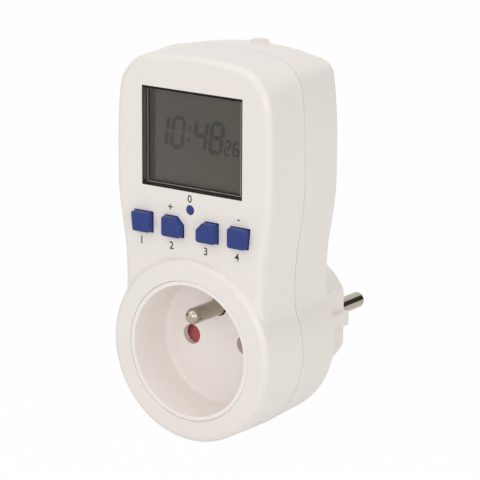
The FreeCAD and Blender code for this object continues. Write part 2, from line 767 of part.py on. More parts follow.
def make_earth_clips():
    """Two sprung strips, above and below the boss, each with a leg that reaches the earth bar."""
    half = CLIP_WIDTH / 2
    foot_low = EARTH_Z + SLEEVE_R + CLIP_SLEEVE_GAP
    leg_y = clip_leg_y()
    strip = block(-half, half, leg_y, leg_y + CLIP_LENGTH, clip_z() - CLIP_T, clip_z())
    leg = block(-half, half, leg_y, leg_y + CLIP_T, foot_low, clip_z())
    foot = block(-half, half, EARTH_BAR_BACK_Y, leg_y + CLIP_T, foot_low, foot_low + CLIP_T)
    upper = join([strip, leg, foot])
    lower = upper.mirror(V(0, 0, 0), Z_AXIS)
    return Part.makeCompound([upper, lower])


def make_socket_insert():
    """Round cup of the socket with its lip, flange and the holes in its floor."""
    lip_y = RING_Y + INSERT_SUNK
    outer = join([
        rod(INSERT_R, lip_y, RING_INSIDE_Y + PLAY + INSERT_FLANGE_T),
        rod(INSERT_FLANGE_R, RING_INSIDE_Y + PLAY, RING_INSIDE_Y + PLAY + INSERT_FLANGE_T),
        rod(INSERT_BODY_R, lip_y, FLOOR_BACK_Y),
    ])
    recess = cone(RECESS_FLOOR_R, RECESS_R, FLOOR_Y, RING_Y)
    recess = round_edges(recess, RECESS_ROUND, lambda edge: lies_on_y(edge, FLOOR_Y))
    cup = outer.cut(recess)
    cuts = [rod(EARTH_HOLE_R, FLOOR_Y - OVER, FLOOR_BACK_Y + OVER, 0.0, EARTH_Z)]
    for side in (-1, 1):
        cuts.append(rod(CONTACT_HOLE_R, FLOOR_Y - OVER, FLOOR_BACK_Y + OVER, side * PIN_X))
        cuts.append(rod(SMALL_SCREW_R + PLAY, FLOOR_BACK_Y - RETAINER_SCREW_DEPTH, FLOOR_BACK_Y + OVER,
                        side * RETAINER_SCREW_X, RETAINER_SCREW_Z))
    return cut_all(cup, cuts)


def make_shutter():
    """Slider with sloping wings: a pin in both holes pushes it down, the spring brings it back."""
    back = SHUTTER_BACK_Y
    slope = [
        V(0, SHUTTER_Y, -SHUTTER_HALF_Z),
        V(0, back, -SHUTTER_HALF_Z),
        V(0, back, SHUTTER_HALF_Z),
        V(0, back - SHUTTER_THIN, SHUTTER_HALF_Z),
    ]
    wing = Part.Face(Part.makePolygon(slope + [slope[0]])).extrude(V(2 * SHUTTER_HALF_X, 0, 0))
    wing.translate(V(-SHUTTER_HALF_X, 0, 0))
    return round_edges(wing, SHUTTER_ROUND, lambda edge: edge.BoundBox.XLength < 1e-4 and edge.BoundBox.YLength > 1.0)


def spring_low_z():
    """Height of the shutter spring's fixed end."""
    return -CHAMBER_R + SPRING_END_GAP


def make_shutter_spring():
    """Compression spring between the retainer's rim and the shutter."""
    height = -SHUTTER_HALF_Z - PLAY - spring_low_z() - 2 * SPRING_WIRE_R
    helix = Part.makeHelix(height / SPRING_TURNS, height, SPRING_R)
    section = Part.Wire(Part.makeCircle(SPRING_WIRE_R, V(SPRING_R, 0, 0), Y_AXIS))
    spring = Part.Wire(helix).makePipeShell([section], True, True)
    spring.translate(V(0, (SHUTTER_Y + SHUTTER_BACK_Y) / 2, spring_low_z() + SPRING_WIRE_R))
    return spring


def make_shutter_retainer():
    """Shallow cap behind the shutter with holes for the pins and the earth pin."""
    outer_r = CHAMBER_R + RETAINER_RIM
    cap = rod(outer_r, FLOOR_BACK_Y, RETAINER_BACK_Y)
    chamber = rod(CHAMBER_R, FLOOR_BACK_Y - OVER, RETAINER_Y)
    cap = cap.cut(chamber)
    pillars = []
    for side in (-1, 1):
        pillars.append(rod(RETAINER_PILLAR_R, FLOOR_BACK_Y, RETAINER_BACK_Y,
                           side * RETAINER_SCREW_X, RETAINER_SCREW_Z))
    cap = join([cap] + pillars)
    cuts = [rod(EARTH_SHANK_R + LOOSE, FLOOR_BACK_Y - OVER, RETAINER_BACK_Y + OVER, 0.0, EARTH_Z)]
    for side in (-1, 1):
        cuts.append(rod(CONTACT_HOLE_R + LOOSE, RETAINER_Y - OVER, RETAINER_BACK_Y + OVER, side * PIN_X))
        cuts.append(rod(SMALL_SCREW_R + PLAY, FLOOR_BACK_Y - OVER, RETAINER_BACK_Y + OVER,
                        side * RETAINER_SCREW_X, RETAINER_SCREW_Z))
    return cut_all(cap, cuts)


def screw(x, z, seat_y, length, shank_r, head_r, head_t, direction):
    """Pan head screw along Y: the head's underside is at seat_y, and direction 1 drives it to +Y."""
    if direction > 0:
        head = rod(head_r, seat_y - head_t, seat_y, x, z)
        shank = rod(shank_r, seat_y, seat_y + length, x, z)
        top_y = seat_y - head_t
        slots = (top_y - OVER, top_y + head_t / 2)
    else:
        head = rod(head_r, seat_y, seat_y + head_t, x, z)
        shank = rod(shank_r, seat_y - length, seat_y, x, z)
        top_y = seat_y + head_t
        slots = (top_y - head_t / 2, top_y + OVER)
    head = round_edges(head, head_t * HEAD_ROUND_SHARE, lambda edge: lies_on_y(edge, top_y))
    reach = head_r * CROSS_REACH_SHARE
    thin = head_r * CROSS_WIDTH_SHARE
    body = join([head, shank])
    cross = [
        block(x - reach, x + reach, slots[0], slots[1], z - thin, z + thin),
        block(x - thin, x + thin, slots[0], slots[1], z - reach, z + reach),
    ]
    return cut_all(body, cross)


def small_screws(places, seat_y, length, direction):
    """A group of small screws at the places given."""
    return Part.makeCompound([
        screw(x, z, seat_y, length, SMALL_SCREW_R, SMALL_HEAD_R, SMALL_HEAD_T, direction) for x, z in places
    ])


def make_earth_pin():
    """Standing earth pin with a round tip, and a thinner shank that reaches the earth bar."""
    tip_y = FLOOR_Y - EARTH_STAND + PIN_R
    tip = Part.makeSphere(PIN_R, V(0, tip_y, EARTH_Z), Y_AXIS, -90, 0, 360)
    pin = rod(PIN_R, tip_y, FLOOR_Y + PLAY, 0.0, EARTH_Z)
    shank = rod(EARTH_SHANK_R, FLOOR_Y, EARTH_BAR_Y, 0.0, EARTH_Z)
    return join([tip, pin, shank])


def make_earth_bar():
    """Upright strip behind the contact block that joins earth pin, rear sleeve and side clips."""
    reach = BOSS_BORE_R - EARTH_BAR_EDGE
    half = CLIP_WIDTH / 2
    return block(-half, half, EARTH_BAR_Y, EARTH_BAR_BACK_Y, -reach, reach)


def make_earth_sleeve():
    """Female contact behind the plug's earth hole."""
    sleeve = rod(SLEEVE_R, EARTH_BAR_BACK_Y, SLEEVE_END_Y, 0.0, EARTH_Z)
    return sleeve.cut(rod(SLEEVE_BORE_R, EARTH_BAR_BACK_Y + SLEEVE_FLOOR, SLEEVE_END_Y + OVER, 0.0, EARTH_Z))


def contact_end_y(live):
    """Back end of a socket contact: the live one stops in front of the block's floor."""
    if live:
        return BLOCK_Y + BLOCK_T - BLOCK_FLOOR
    return REAR_BAR_Y


def make_contact(side, live):
    """Split sleeve that grips an inserted pin, with a flange that rests on block or bar."""
    x = side * PIN_X
    front = RETAINER_BACK_Y + CONTACT_GAP
    back = contact_end_y(live)
    seat = BLOCK_Y - BAR_T if live else BLOCK_Y
    body = rod(CONTACT_R, front, back, x)
    flange = rod(CONTACT_FLANGE_R, seat - BAR_T, seat, x)
    bore = rod(CONTACT_BORE_R, front - OVER, back - CONTACT_END_WALL, x)
    slot = block(x - CONTACT_SLOT / 2, x + CONTACT_SLOT / 2, front - OVER, seat - BAR_T - LOOSE,
                 -CONTACT_FLANGE_R, CONTACT_FLANGE_R)
    return cut_all(join([body, flange]), [bore, slot])


def make_contact_block():
    """Moulded block on the rear cover's floor that holds both socket contacts and the rear bars."""
    body = rod(BLOCK_R, BLOCK_Y, BACK_INSIDE_Y)
    cuts = [
        rod(CONTACT_R + PLAY, BLOCK_Y - OVER, contact_end_y(True) + PLAY, -PIN_X),
        rod(CONTACT_R + PLAY, BLOCK_Y - OVER, BACK_INSIDE_Y + OVER, PIN_X),
        rod(EARTH_SHANK_R + LOOSE, BLOCK_Y - OVER, BACK_INSIDE_Y + OVER, 0.0, EARTH_Z),
    ]
    for side in (-1, 1):
        x = side * PIN_X
        half = SHANK_R + PLAY
        cuts.append(block(x - half, x + half, REAR_BAR_Y - PLAY, BACK_INSIDE_Y + OVER,
                          -BAR_DROP - LOOSE, BLOCK_R + OVER))
    return cut_all(body, cuts)


def make_bar(side, y, foot_y):
    """Upright strip from a contact or plug pin to the power board, with a foot turned to the board."""
    x = side * PIN_X
    half = BAR_WIDTH / 2
    top = POWER_LOW + BAR_RISE
    strip = block(x - half, x + half, y, y + BAR_T, -BAR_DROP, top)
    foot = block(x - half, x + half, min(y, foot_y), max(y + BAR_T, foot_y), top - BAR_T, top)
    return join([strip, foot])


def make_live_out_bar():
    """Strip with a round eye over the live contact, up to the relay's side of the power board."""
    eye = rod(CONTACT_R + CONTACT_EYE_WALL, BLOCK_Y - BAR_T, BLOCK_Y, -PIN_X)
    bar = join([make_bar(-1, BLOCK_Y - BAR_T, POWER_Y), eye])
    return bar.cut(rod(CONTACT_R + PLAY, BLOCK_Y - BAR_T - OVER, BLOCK_Y + OVER, -PIN_X))


def make_plug_pin(side):
    """Round pin with a rounded tip, a thicker shank through the plug face and a stop collar."""
    x = side * PIN_X
    shank = rod(SHANK_R, PIN_ROOT_Y, 0.0, x)
    collar = rod(COLLAR_R, COLLAR_Y, PLUG_INSIDE_Y, x)
    pin = round_edges(rod(PIN_R, 0.0, PIN_LENGTH, x), PIN_TIP_ROUND, lambda edge: lies_on_y(edge, PIN_LENGTH))
    return join([shank, collar, pin])


def make_pin_carrier():
    """Disc that clamps the collars of both pins against the inside of the plug face."""
    disc = rod(BOSS_BORE_R - CARRIER_EDGE_PLAY, CARRIER_Y, COLLAR_Y)
    cuts = [rod(SLEEVE_R + PLAY, CARRIER_Y - OVER, COLLAR_Y + OVER, 0.0, EARTH_Z)]
    posts = []
    for side in (-1, 1):
        cuts.append(rod(SHANK_R + PLAY, CARRIER_Y - OVER, COLLAR_Y + OVER, side * PIN_X))
        posts.append(rod(POST_R, COLLAR_Y, PLUG_INSIDE_Y, side * CARRIER_SCREW_X, CARRIER_SCREW_Z))
        cuts.append(rod(SMALL_SCREW_R + PLAY, CARRIER_Y - OVER, PLUG_INSIDE_Y + OVER,
                        side * CARRIER_SCREW_X, CARRIER_SCREW_Z))
    return cut_all(join([disc] + posts), cuts)


def make_display_window():
    """Clear pane that fills the opening, with a lip behind the cover."""
    pane = block(
        -WINDOW_W / 2 + WINDOW_PLAY, WINDOW_W / 2 - WINDOW_PLAY, UPPER_Y + WINDOW_RECESS, FRONT_INSIDE_Y,
        WINDOW_Z - WINDOW_H / 2 + WINDOW_PLAY, WINDOW_Z + WINDOW_H / 2 - WINDOW_PLAY,
    )
    lip = block(
        -WINDOW_W / 2 - WINDOW_LIP, WINDOW_W / 2 + WINDOW_LIP, FRONT_INSIDE_Y, FRAME_Y,
        WINDOW_Z - WINDOW_H / 2 - WINDOW_LIP, WINDOW_Z + WINDOW_H / 2 + WINDOW_LIP,
    )
    return join([pane, lip])


def frame_box(margin, y0, y1):
    """A box of the display frame's outline less a margin."""
    return block(
        -FRAME_W / 2 + margin, FRAME_W / 2 - margin, y0, y1,
        WINDOW_Z - FRAME_H / 2 + margin, WINDOW_Z + FRAME_H / 2 - margin,
    )


def make_lcd_frame():
    """Dark frame that carries the glass and masks its edge."""
    body = frame_box(0.0, FRAME_Y, BOARD_Y)
    pocket = frame_box(FRAME_SIDE, LCD_Y, BOARD_Y + OVER)
    sight = block(
        -WINDOW_W / 2 + FRAME_MASK, WINDOW_W / 2 - FRAME_MASK, FRAME_Y - OVER, LCD_Y + OVER,
        WINDOW_Z - WINDOW_H / 2 + FRAME_MASK, WINDOW_Z + WINDOW_H / 2 - FRAME_MASK,
    )
    return cut_all(body, [pocket, sight])


def make_lcd_glass():
    """Liquid crystal cell in the frame's pocket."""
    return frame_box(FRAME_SIDE + PLAY, LCD_Y, LCD_BACK_Y)


def make_contact_strips():
    """Two rubber strips that carry the signals from the board to the glass."""
    strips = []
    for level in (-1, 1):
        z = WINDOW_Z + level * (FRAME_H / 2 - FRAME_SIDE - STRIP_W)
        strips.append(block(
            -STRIP_LENGTH / 2, STRIP_LENGTH / 2, LCD_BACK_Y, BOARD_Y, z - STRIP_W / 2, z + STRIP_W / 2,
        ))
    return Part.makeCompound(strips)


def make_control_board():
    """Board behind the display and the keys."""
    middle = (BOARD_LOW + BOARD_HIGH) / 2
    height = BOARD_HIGH - BOARD_LOW
    board = rounded_plate(2 * BOARD_HALF, height, BOARD_Y, BOARD_BACK_Y, 0.0, middle, BOARD_CORNER)
    cuts = []
    for x, z in BOARD_SCREWS:
        cuts.append(rod(SMALL_SCREW_R + SCREW_HOLE_PLAY, BOARD_Y - OVER, BOARD_BACK_Y + OVER, x, z))
    for x, z in CASE_SCREWS:
        cuts.append(rod(front_post_r() + POST_NOTCH_PLAY, BOARD_Y - OVER, BOARD_BACK_Y + OVER, x, z))
    return cut_all(board, cuts)


def make_controller_chip():
    """Drop of black resin over the controller."""
    back = BOARD_BACK_Y + CHIP_T
    drop = rod(CHIP_R, BOARD_BACK_Y, back, CHIP_X, CHIP_Z)
    return round_edges(drop, CHIP_ROUND, lambda edge: lies_on_y(edge, back))


def make_quartz_crystal():
    """Flat can of the quartz crystal."""
    back = BOARD_BACK_Y + CRYSTAL_T
    return rounded_plate(CRYSTAL_W, CRYSTAL_H, BOARD_BACK_Y, back, CHIP_X, CRYSTAL_Z, CRYSTAL_CORNER)


def make_backup_battery():
    """Rechargeable button cell that keeps the clock running."""
    front = BOARD_BACK_Y + TAB_T
    cell = rod(BATTERY_R, front, front + BATTERY_T, BATTERY_X, BATTERY_Z)
    return round_edges(cell, BATTERY_ROUND, lambda edge: lies_on_y(edge, front + BATTERY_T))


def make_battery_tabs():
    """Metal strips welded to both faces of the cell."""
    left = BATTERY_X - TAB_HALF
    right = BATTERY_X + TAB_HALF
    front_y = BOARD_BACK_Y + TAB_T
    back_y = front_y + BATTERY_T
    top = BATTERY_Z + TAB_LEG_REACH
    front = block(left, right, BOARD_BACK_Y, front_y, BATTERY_Z - TAB_FRONT_REACH, BATTERY_Z + TAB_HALF)
    over = block(left, right, back_y, back_y + TAB_T, BATTERY_Z - TAB_HALF, top)
    leg = block(left, right, BOARD_BACK_Y, back_y + TAB_T, top - TAB_T, top)
    return Part.makeCompound([front, join([over, leg])])


def make_power_board():
    """Board on the rear cover's posts, notched round the case screw posts."""
    middle = (POWER_LOW + POWER_HIGH) / 2
    height = POWER_HIGH - POWER_LOW
    board = rounded_plate(2 * POWER_HALF, height, POWER_Y, POWER_BACK_Y, 0.0, middle, BOARD_CORNER)
    cuts = []
    for x, z in POWER_SCREWS:
        cuts.append(rod(SMALL_SCREW_R + SCREW_HOLE_PLAY, POWER_Y - OVER, POWER_BACK_Y + OVER, x, z))
    for x, z in CASE_SCREWS:
        cuts.append(rod(case_post_r() + POST_NOTCH_PLAY, POWER_Y - OVER, POWER_BACK_Y + OVER, x, z))
    return cut_all(board, cuts)


def make_board_link():
    """Pin header that joins the two boards."""
    half = LINK_PINS * LINK_PITCH / 2
    pin = LINK_PIN_HALF
    front = POWER_Y - LINK_BODY_T
    pieces = [block(-half, half, front, POWER_Y, LINK_Z - LINK_BODY_HALF, LINK_Z + LINK_BODY_HALF)]
    for index in range(LINK_PINS):
        x = (index + 0.5) * LINK_PITCH - half
        pieces.append(block(x - pin, x + pin, BOARD_BACK_Y, POWER_Y, LINK_Z - pin, LINK_Z + pin))
    return join(pieces)


def relay_box(margin, y0, y1):
    """A box of the relay's outline less a margin."""
    return block(
        RELAY_X - RELAY_W / 2 + margin, RELAY_X + RELAY_W / 2 - margin, y0, y1,
        RELAY_Z - RELAY_H / 2 + margin, RELAY_Z + RELAY_H / 2 - margin,
    )


def make_relay_base():
    """Moulded foot of the relay on the power board."""
    return relay_box(RELAY_WALL + PLAY, RELAY_BASE_Y, POWER_Y)


def make_relay_case():
    """Dust cover of the relay."""
    space = relay_box(RELAY_WALL, RELAY_FRONT_Y + RELAY_WALL, POWER_Y + OVER)
    return relay_box(0.0, RELAY_FRONT_Y, POWER_Y).cut(space)


def make_relay_coil():
    """Winding between two flanges on an iron core."""
    core_y = ARMATURE_BACK_Y + ARMATURE_GAP
    back = RELAY_BASE_Y - YOKE_T
    front = core_y + COIL_CORE_PROUD
    winding = rod(COIL_R, front, back, RELAY_X, COIL_Z)
    low = rod(COIL_R + COIL_FLANGE, back - COIL_FLANGE_T, back, RELAY_X, COIL_Z)
    high = rod(COIL_R + COIL_FLANGE, front, front + COIL_FLANGE_T, RELAY_X, COIL_Z)
    core = rod(CORE_R, core_y, back, RELAY_X, COIL_Z)
    return join([winding, low, high, core])


def make_relay_yoke():
    """Iron angle behind and above the coil that carries the armature's hinge edge."""
    left = RELAY_X - YOKE_HALF
    right = RELAY_X + YOKE_HALF
    top = HINGE_Z + YOKE_T
    back = block(left, right, RELAY_BASE_Y - YOKE_T, RELAY_BASE_Y, RELAY_Z - YOKE_REACH, top)
    arm = block(left, right, ARMATURE_BACK_Y + PLAY, RELAY_BASE_Y, HINGE_Z, top)
    return join([back, arm])


def make_relay_armature():
    """Iron plate that tips towards the core when the coil is on."""
    left = RELAY_X - ARMATURE_HALF
    right = RELAY_X + ARMATURE_HALF
    return block(left, right, ARMATURE_Y, ARMATURE_BACK_Y, RELAY_Z - ARMATURE_REACH, HINGE_Z)


def make_dropper_capacitor():
    """Film capacitor that feeds the electronics."""
    front = POWER_Y - DROPPER_DEPTH
    low = DROPPER_Z - DROPPER_H / 2
    body = block(DROPPER_X, DROPPER_X + DROPPER_W, front, POWER_Y, low, low + DROPPER_H)
    return round_edges(body, DROPPER_ROUND, lambda edge: lies_on_y(edge, front))


def make_smoothing_capacitor():
    """Round electrolytic capacitor standing on the power board."""
    front = POWER_Y - SMOOTHING_DEPTH
    can = rod(SMOOTHING_R, front, POWER_Y, SMOOTHING_X, SMOOTHING_Z)
    return round_edges(can, SMOOTHING_ROUND, lambda edge: lies_on_y(edge, front))


def make_varistor():
    """Disc across the mains, standing on edge with its body dipped in resin."""
    return Part.makeCylinder(VARISTOR_R, VARISTOR_T, V(RELAY_X, POWER_Y - VARISTOR_R, VARISTOR_Z), Z_AXIS)


def make_rectifier_diodes():
    """Four small diodes in a row on the power board."""
    diodes = []
    for index in range(DIODE_COUNT):
        z = DIODE_Z + index * DIODE_PITCH
        low = z - DIODE_HALF
        high = z + DIODE_HALF
        diodes.append(block(DIODE_X, DIODE_X + DIODE_LENGTH, POWER_Y - DIODE_DEPTH, POWER_Y, low, high))
    return Part.makeCompound(diodes)


def make_case_screws():
    """Screws from the wells in the rear cover into the front cover's posts."""
    seat = BACK_Y - CASE_WELL_DEPTH
    length = seat - (SEAM_Y - CASE_GRIP)
    return Part.makeCompound([
        screw(x, z, seat, length, CASE_SCREW_R, CASE_HEAD_R, CASE_HEAD_T, -1) for x, z in CASE_SCREWS
    ])


def build_parts():
    """Every node of the timer by name."""
    retainer_places = [(-RETAINER_SCREW_X, RETAINER_SCREW_Z), (RETAINER_SCREW_X, RETAINER_SCREW_Z)]
    carrier_places = [(-CARRIER_SCREW_X, CARRIER_SCREW_Z), (CARRIER_SCREW_X, CARRIER_SCREW_Z)]
    retainer_length = RETAINER_BACK_Y - FLOOR_BACK_Y + RETAINER_SCREW_DEPTH - LOOSE
    carrier_length = PLUG_INSIDE_Y - CARRIER_Y + CARRIER_SCREW_DEPTH - LOOSE
    board_length = BOARD_BACK_Y - FRONT_INSIDE_Y - BOARD_SCREW_END_GAP
    power_length = BACK_INSIDE_Y - POWER_Y - POWER_SCREW_END_GAP
    parts = {
        "front_cover": make_front_cover(),
        "rear_cover": make_rear_cover(),
        "socket_insert": make_socket_insert(),
        "shutter": make_shutter(),
        "shutter_spring": make_shutter_spring(),
        "shutter_retainer": make_shutter_retainer(),
        "retainer_screws": small_screws(retainer_places, RETAINER_BACK_Y, retainer_length, -1),
        "earth_pin": make_earth_pin(),
        "earth_bar": make_earth_bar(),
        "earth_sleeve": make_earth_sleeve(),
        "earth_clips": make_earth_clips(),
        "live_contact": make_contact(-1, True),
        "neutral_contact": make_contact(1, False),
        "contact_block": make_contact_block(),
        "live_in_bar": make_bar(-1, REAR_BAR_Y, POWER_BACK_Y),
        "live_out_bar": make_live_out_bar(),
        "neutral_bar": make_bar(1, REAR_BAR_Y, POWER_BACK_Y),
        "plug_pin_live": make_plug_pin(-1),
        "plug_pin_neutral": make_plug_pin(1),
        "pin_carrier": make_pin_carrier(),
        "carrier_screws": small_screws(carrier_places, CARRIER_Y, carrier_length, 1),
        "display_window": make_display_window(),
        "lcd_frame": make_lcd_frame(),
        "lcd_glass": make_lcd_glass(),
        "contact_strips": make_contact_strips(),
        "control_board": make_control_board(),
        "controller_chip": make_controller_chip(),
        "quartz_crystal": make_quartz_crystal(),
        "backup_battery": make_backup_battery(),
        "battery_tabs": make_battery_tabs(),
        "board_screws": small_screws(BOARD_SCREWS, BOARD_BACK_Y, board_length, -1),
        "board_link": make_board_link(),
        "power_board": make_power_board(),
        "power_board_screws": small_screws(POWER_SCREWS, POWER_Y, power_length, 1),
        "relay_base": make_relay_base(),
        "relay_case": make_relay_case(),
        "relay_coil": make_relay_coil(),
        "relay_yoke": make_relay_yoke(),
        "relay_armature": make_relay_armature(),
        "dropper_capacitor": make_dropper_capacitor(),
        "smoothing_capacitor": make_smoothing_capacitor(),
        "varistor": make_varistor(),
        "rectifier_diodes": make_rectifier_diodes(),
        "reset_key": make_reset_key(),
        "reset_dome": make_dome(RESET_DOME_BASE_R, RESET_DOME_TOP_R, RESET_X, RESET_Z),
        "case_screws": make_case_screws(),
    }
    for name, inner, side, x in key_places():
        parts["key_" + name] = make_key(inner, side, x)
        parts["dome_" + name] = make_dome(DOME_BASE_R, DOME_TOP_R, x, KEY_Z)
    return parts


def main():
    """Write each node to its own file and report its solids."""
    os.makedirs("parts", exist_ok=True)
    for name, shape in build_parts().items():
        if not shape.isValid() or not shape.Solids:
            print("not a valid solid:", name)
        print(name, len(shape.Solids), round(shape.Volume, 1))
        shape.exportStep("parts/" + name + ".step")


main()
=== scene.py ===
import json
import math

import bmesh
import bpy
from bpy.props import FloatProperty, FloatVectorProperty, PointerProperty, StringProperty
from mathutils import Matrix, Vector


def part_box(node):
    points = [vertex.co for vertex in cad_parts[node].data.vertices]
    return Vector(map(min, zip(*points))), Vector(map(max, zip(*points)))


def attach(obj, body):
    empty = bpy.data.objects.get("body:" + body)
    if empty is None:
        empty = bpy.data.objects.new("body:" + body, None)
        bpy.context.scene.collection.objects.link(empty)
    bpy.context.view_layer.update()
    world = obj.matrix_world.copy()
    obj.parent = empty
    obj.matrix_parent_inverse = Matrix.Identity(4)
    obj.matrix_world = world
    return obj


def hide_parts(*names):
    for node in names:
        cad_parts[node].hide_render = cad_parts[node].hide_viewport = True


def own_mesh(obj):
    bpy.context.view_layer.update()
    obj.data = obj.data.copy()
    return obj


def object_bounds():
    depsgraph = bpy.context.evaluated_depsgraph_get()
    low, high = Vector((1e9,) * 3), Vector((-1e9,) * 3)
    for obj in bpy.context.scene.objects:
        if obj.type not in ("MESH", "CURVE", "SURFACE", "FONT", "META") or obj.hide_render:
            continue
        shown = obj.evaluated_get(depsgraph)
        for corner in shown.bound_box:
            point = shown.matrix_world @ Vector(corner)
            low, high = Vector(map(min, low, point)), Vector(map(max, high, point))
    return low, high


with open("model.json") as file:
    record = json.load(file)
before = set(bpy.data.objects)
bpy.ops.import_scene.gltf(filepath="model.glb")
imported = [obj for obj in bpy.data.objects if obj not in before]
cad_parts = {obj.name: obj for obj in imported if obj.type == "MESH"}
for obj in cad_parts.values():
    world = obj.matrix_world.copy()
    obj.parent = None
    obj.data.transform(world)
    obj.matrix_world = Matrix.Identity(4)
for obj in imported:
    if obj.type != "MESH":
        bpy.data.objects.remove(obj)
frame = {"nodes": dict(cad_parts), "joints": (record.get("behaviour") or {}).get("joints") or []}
CAD_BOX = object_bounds()

bl_info = {
    "name": "Plug-in timer looks",
    "version": (1, 0, 0),
    "blender": (4, 5, 0),
    "location": "3D View > Sidebar > Timer",
    "description": "Dresses the packed plug-in timer and sets it in a plain studio",
    "category": "Object",
}

MM = 0.001

# Depths that the solids share, along Y, towards the wall.
COLLAR_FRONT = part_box("front_cover")[0].y
WINDOW_SUNK = 0.15 * MM
FACE_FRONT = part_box("display_window")[0].y - WINDOW_SUNK
GLASS_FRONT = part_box("lcd_glass")[0].y
SOCKET_DEPTH = 14.8 * MM
SOCKET_FLOOR = COLLAR_FRONT + SOCKET_DEPTH
BACK_FACE = -19.3 * MM
LABEL_RECESS = 0.4 * MM
LABEL_MIDDLE = 54.0 * MM

# How far the window's hidden lip reaches past its opening on every side.
WINDOW_LIP = 1.0 * MM

# Thickness of printed lines and of the display's segments.
PRINT_THICK = 0.03 * MM

# Layout of the display. The figure shapes and the seconds' pitch are shares of a digit's height, the
# overlap and the point are shares of a stroke's width, and the colon's steps are shares of the height or of
# the pitch between digits.
DIGITS_LEFT = -12.8 * MM
DIGITS_LIFT = 1.4 * MM
SECONDS_NEARER = 1.5 * MM
DIGIT_WIDTH = 0.44
DIGIT_STROKE = 0.14
DIGIT_PITCH = 0.66
STROKE_OVERLAP = 0.2
STROKE_POINT = 0.48
SECONDS_PITCH = 0.78
COLON_DOT = 0.11
COLON_LIFT = 0.2
COLON_BACK = 0.28
COLON_PITCH = 0.42

# Specular level of the display and of ink, which shine little.
DULL_SPECULAR = 0.2

# Edges flatter than this are shaded smooth on the soft copies, and points nearer than this are joined.
SMOOTH_ANGLE = math.radians(30.0)
WELD_DISTANCE = 0.001 * MM

# A cut or round in a plate is only made along edges that don't leave Y by more than this.
ALONG_Y = 1e-9

# Printed figures: their capitals' height as a share of the font's size, and how far the ink stands out
# and spreads.
CAPITAL_SHARE = 0.7
INK_THICK = 0.012 * MM
INK_SPREAD = 0.05 * MM

# Marks of the moulding on the socket's floor.
PAD_SIZE = (2.4 * MM, 0.16 * MM, 3.2 * MM)
PAD_MIDDLE = (-1.1 * MM, 4.3 * MM)
PAD_CORNER = 0.2 * MM
RING_RADII = (2.55 * MM, 2.8 * MM)
RING_RISE = 0.05 * MM
RING_MIDDLE = (-0.5 * MM, -10.0 * MM)
RING_STEPS = 48

# Places of the share and the colours among the sockets of a mix of two colours.
MIX_SHARE = 0
MIX_FIRST = 6
MIX_SECOND = 7
MIX_RESULT = 2

# Studio: half sides and distances in metres, the floor's glow as a share, and the sensor's width in
# millimetres.
FLOOR_HALF_SIDE = 3.0
FLOOR_GAP = 0.05 * MM
FLOOR_GLOW = 0.97
CARD_DISTANCE = 0.8
SENSOR_WIDTH = 36.0
NEAR_CLIP = 0.05

# Lamps: width, height, azimuth and elevation in degrees, and distance. Cards: azimuth and half side.
LAMPS = {
    "key_lamp": (0.7, 0.7, -25.0, 42.2, 1.117),
    "fill_lamp": (0.8, 0.8, 76.0, 16.2, 1.074),
    "front_lamp": (0.9, 0.7, 27.2, 12.0, 1.2),
    "edge_lamp": (0.06, 0.9, 58.0, 10.0, 1.0),
    "top_lamp": (0.6, 0.6, 0.0, 84.3, 1.005),
}
CARDS = {"rear_card": (140.0, 0.5), "left_card": (-75.0, 0.25)}

# Segments of the display's digits, named a to g clockwise from the top with g in the middle.
LIT_SEGMENTS = {
    "0": "abcdef", "1": "bc", "2": "abdeg", "3": "abcdg", "4": "bcfg",
    "5": "acdfg", "6": "acdefg", "7": "abc", "8": "abcdefg", "9": "abcdfg",
}

# Printed marks on the face: text, place across, height of its middle.
PRINTED_MARKS = [
    ("1", -17.6, 30.0), ("2", -7.0, 30.0), ("3", 5.0, 30.0), ("4", 15.8, 30.0),
    ("+", -7.4, 41.2), ("0", -0.6, 44.5), ("-", 16.3, 41.2),
]

# The rubber dome behind each key.
DOMES = {
    "reset_key": "reset_dome", "key_outer_left": "dome_outer_left", "key_inner_left": "dome_inner_left",
    "key_inner_right": "dome_inner_right", "key_outer_right": "dome_outer_right",
}


def tone(red, green, blue):
    """Scene colour from the usual 0 to 255 values of a picture."""
    values = []
    for value in (red / 255, green / 255, blue / 255):
        values.append(value / 12.92 if value <= 0.04045 else ((value + 0.055) / 1.055) ** 2.4)
    return tuple(values)


def dimmed(colour, share):
    """A colour at a share of its brightness."""
    return tuple(value * share for value in colour)


class Value:
    """A number that changes over a surface. Sums, products and comparisons add Math nodes."""

    def __init__(self, nodes, socket):
        self.nodes = nodes
        self.socket = socket

    def math(self, operation, first, second):
        """One Math node on two numbers."""
        return self.nodes.add("ShaderNodeMath", {"operation": operation}, {0: first, 1: second})

    def __add__(self, other):
        return self.math("ADD", self, other)

    def __sub__(self, other):
        return self.math("SUBTRACT", self, other)

    def __rsub__(self, other):
        return self.math("SUBTRACT", other, self)

    def __mul__(self, other):
        return self.math("MULTIPLY", self, other)

    def __gt__(self, other):
        return self.math("GREATER_THAN", self, other)

    def __or__(self, other):
        return self.math("MAXIMUM", self, other)

    __radd__ = __add__
    __rmul__ = __mul__


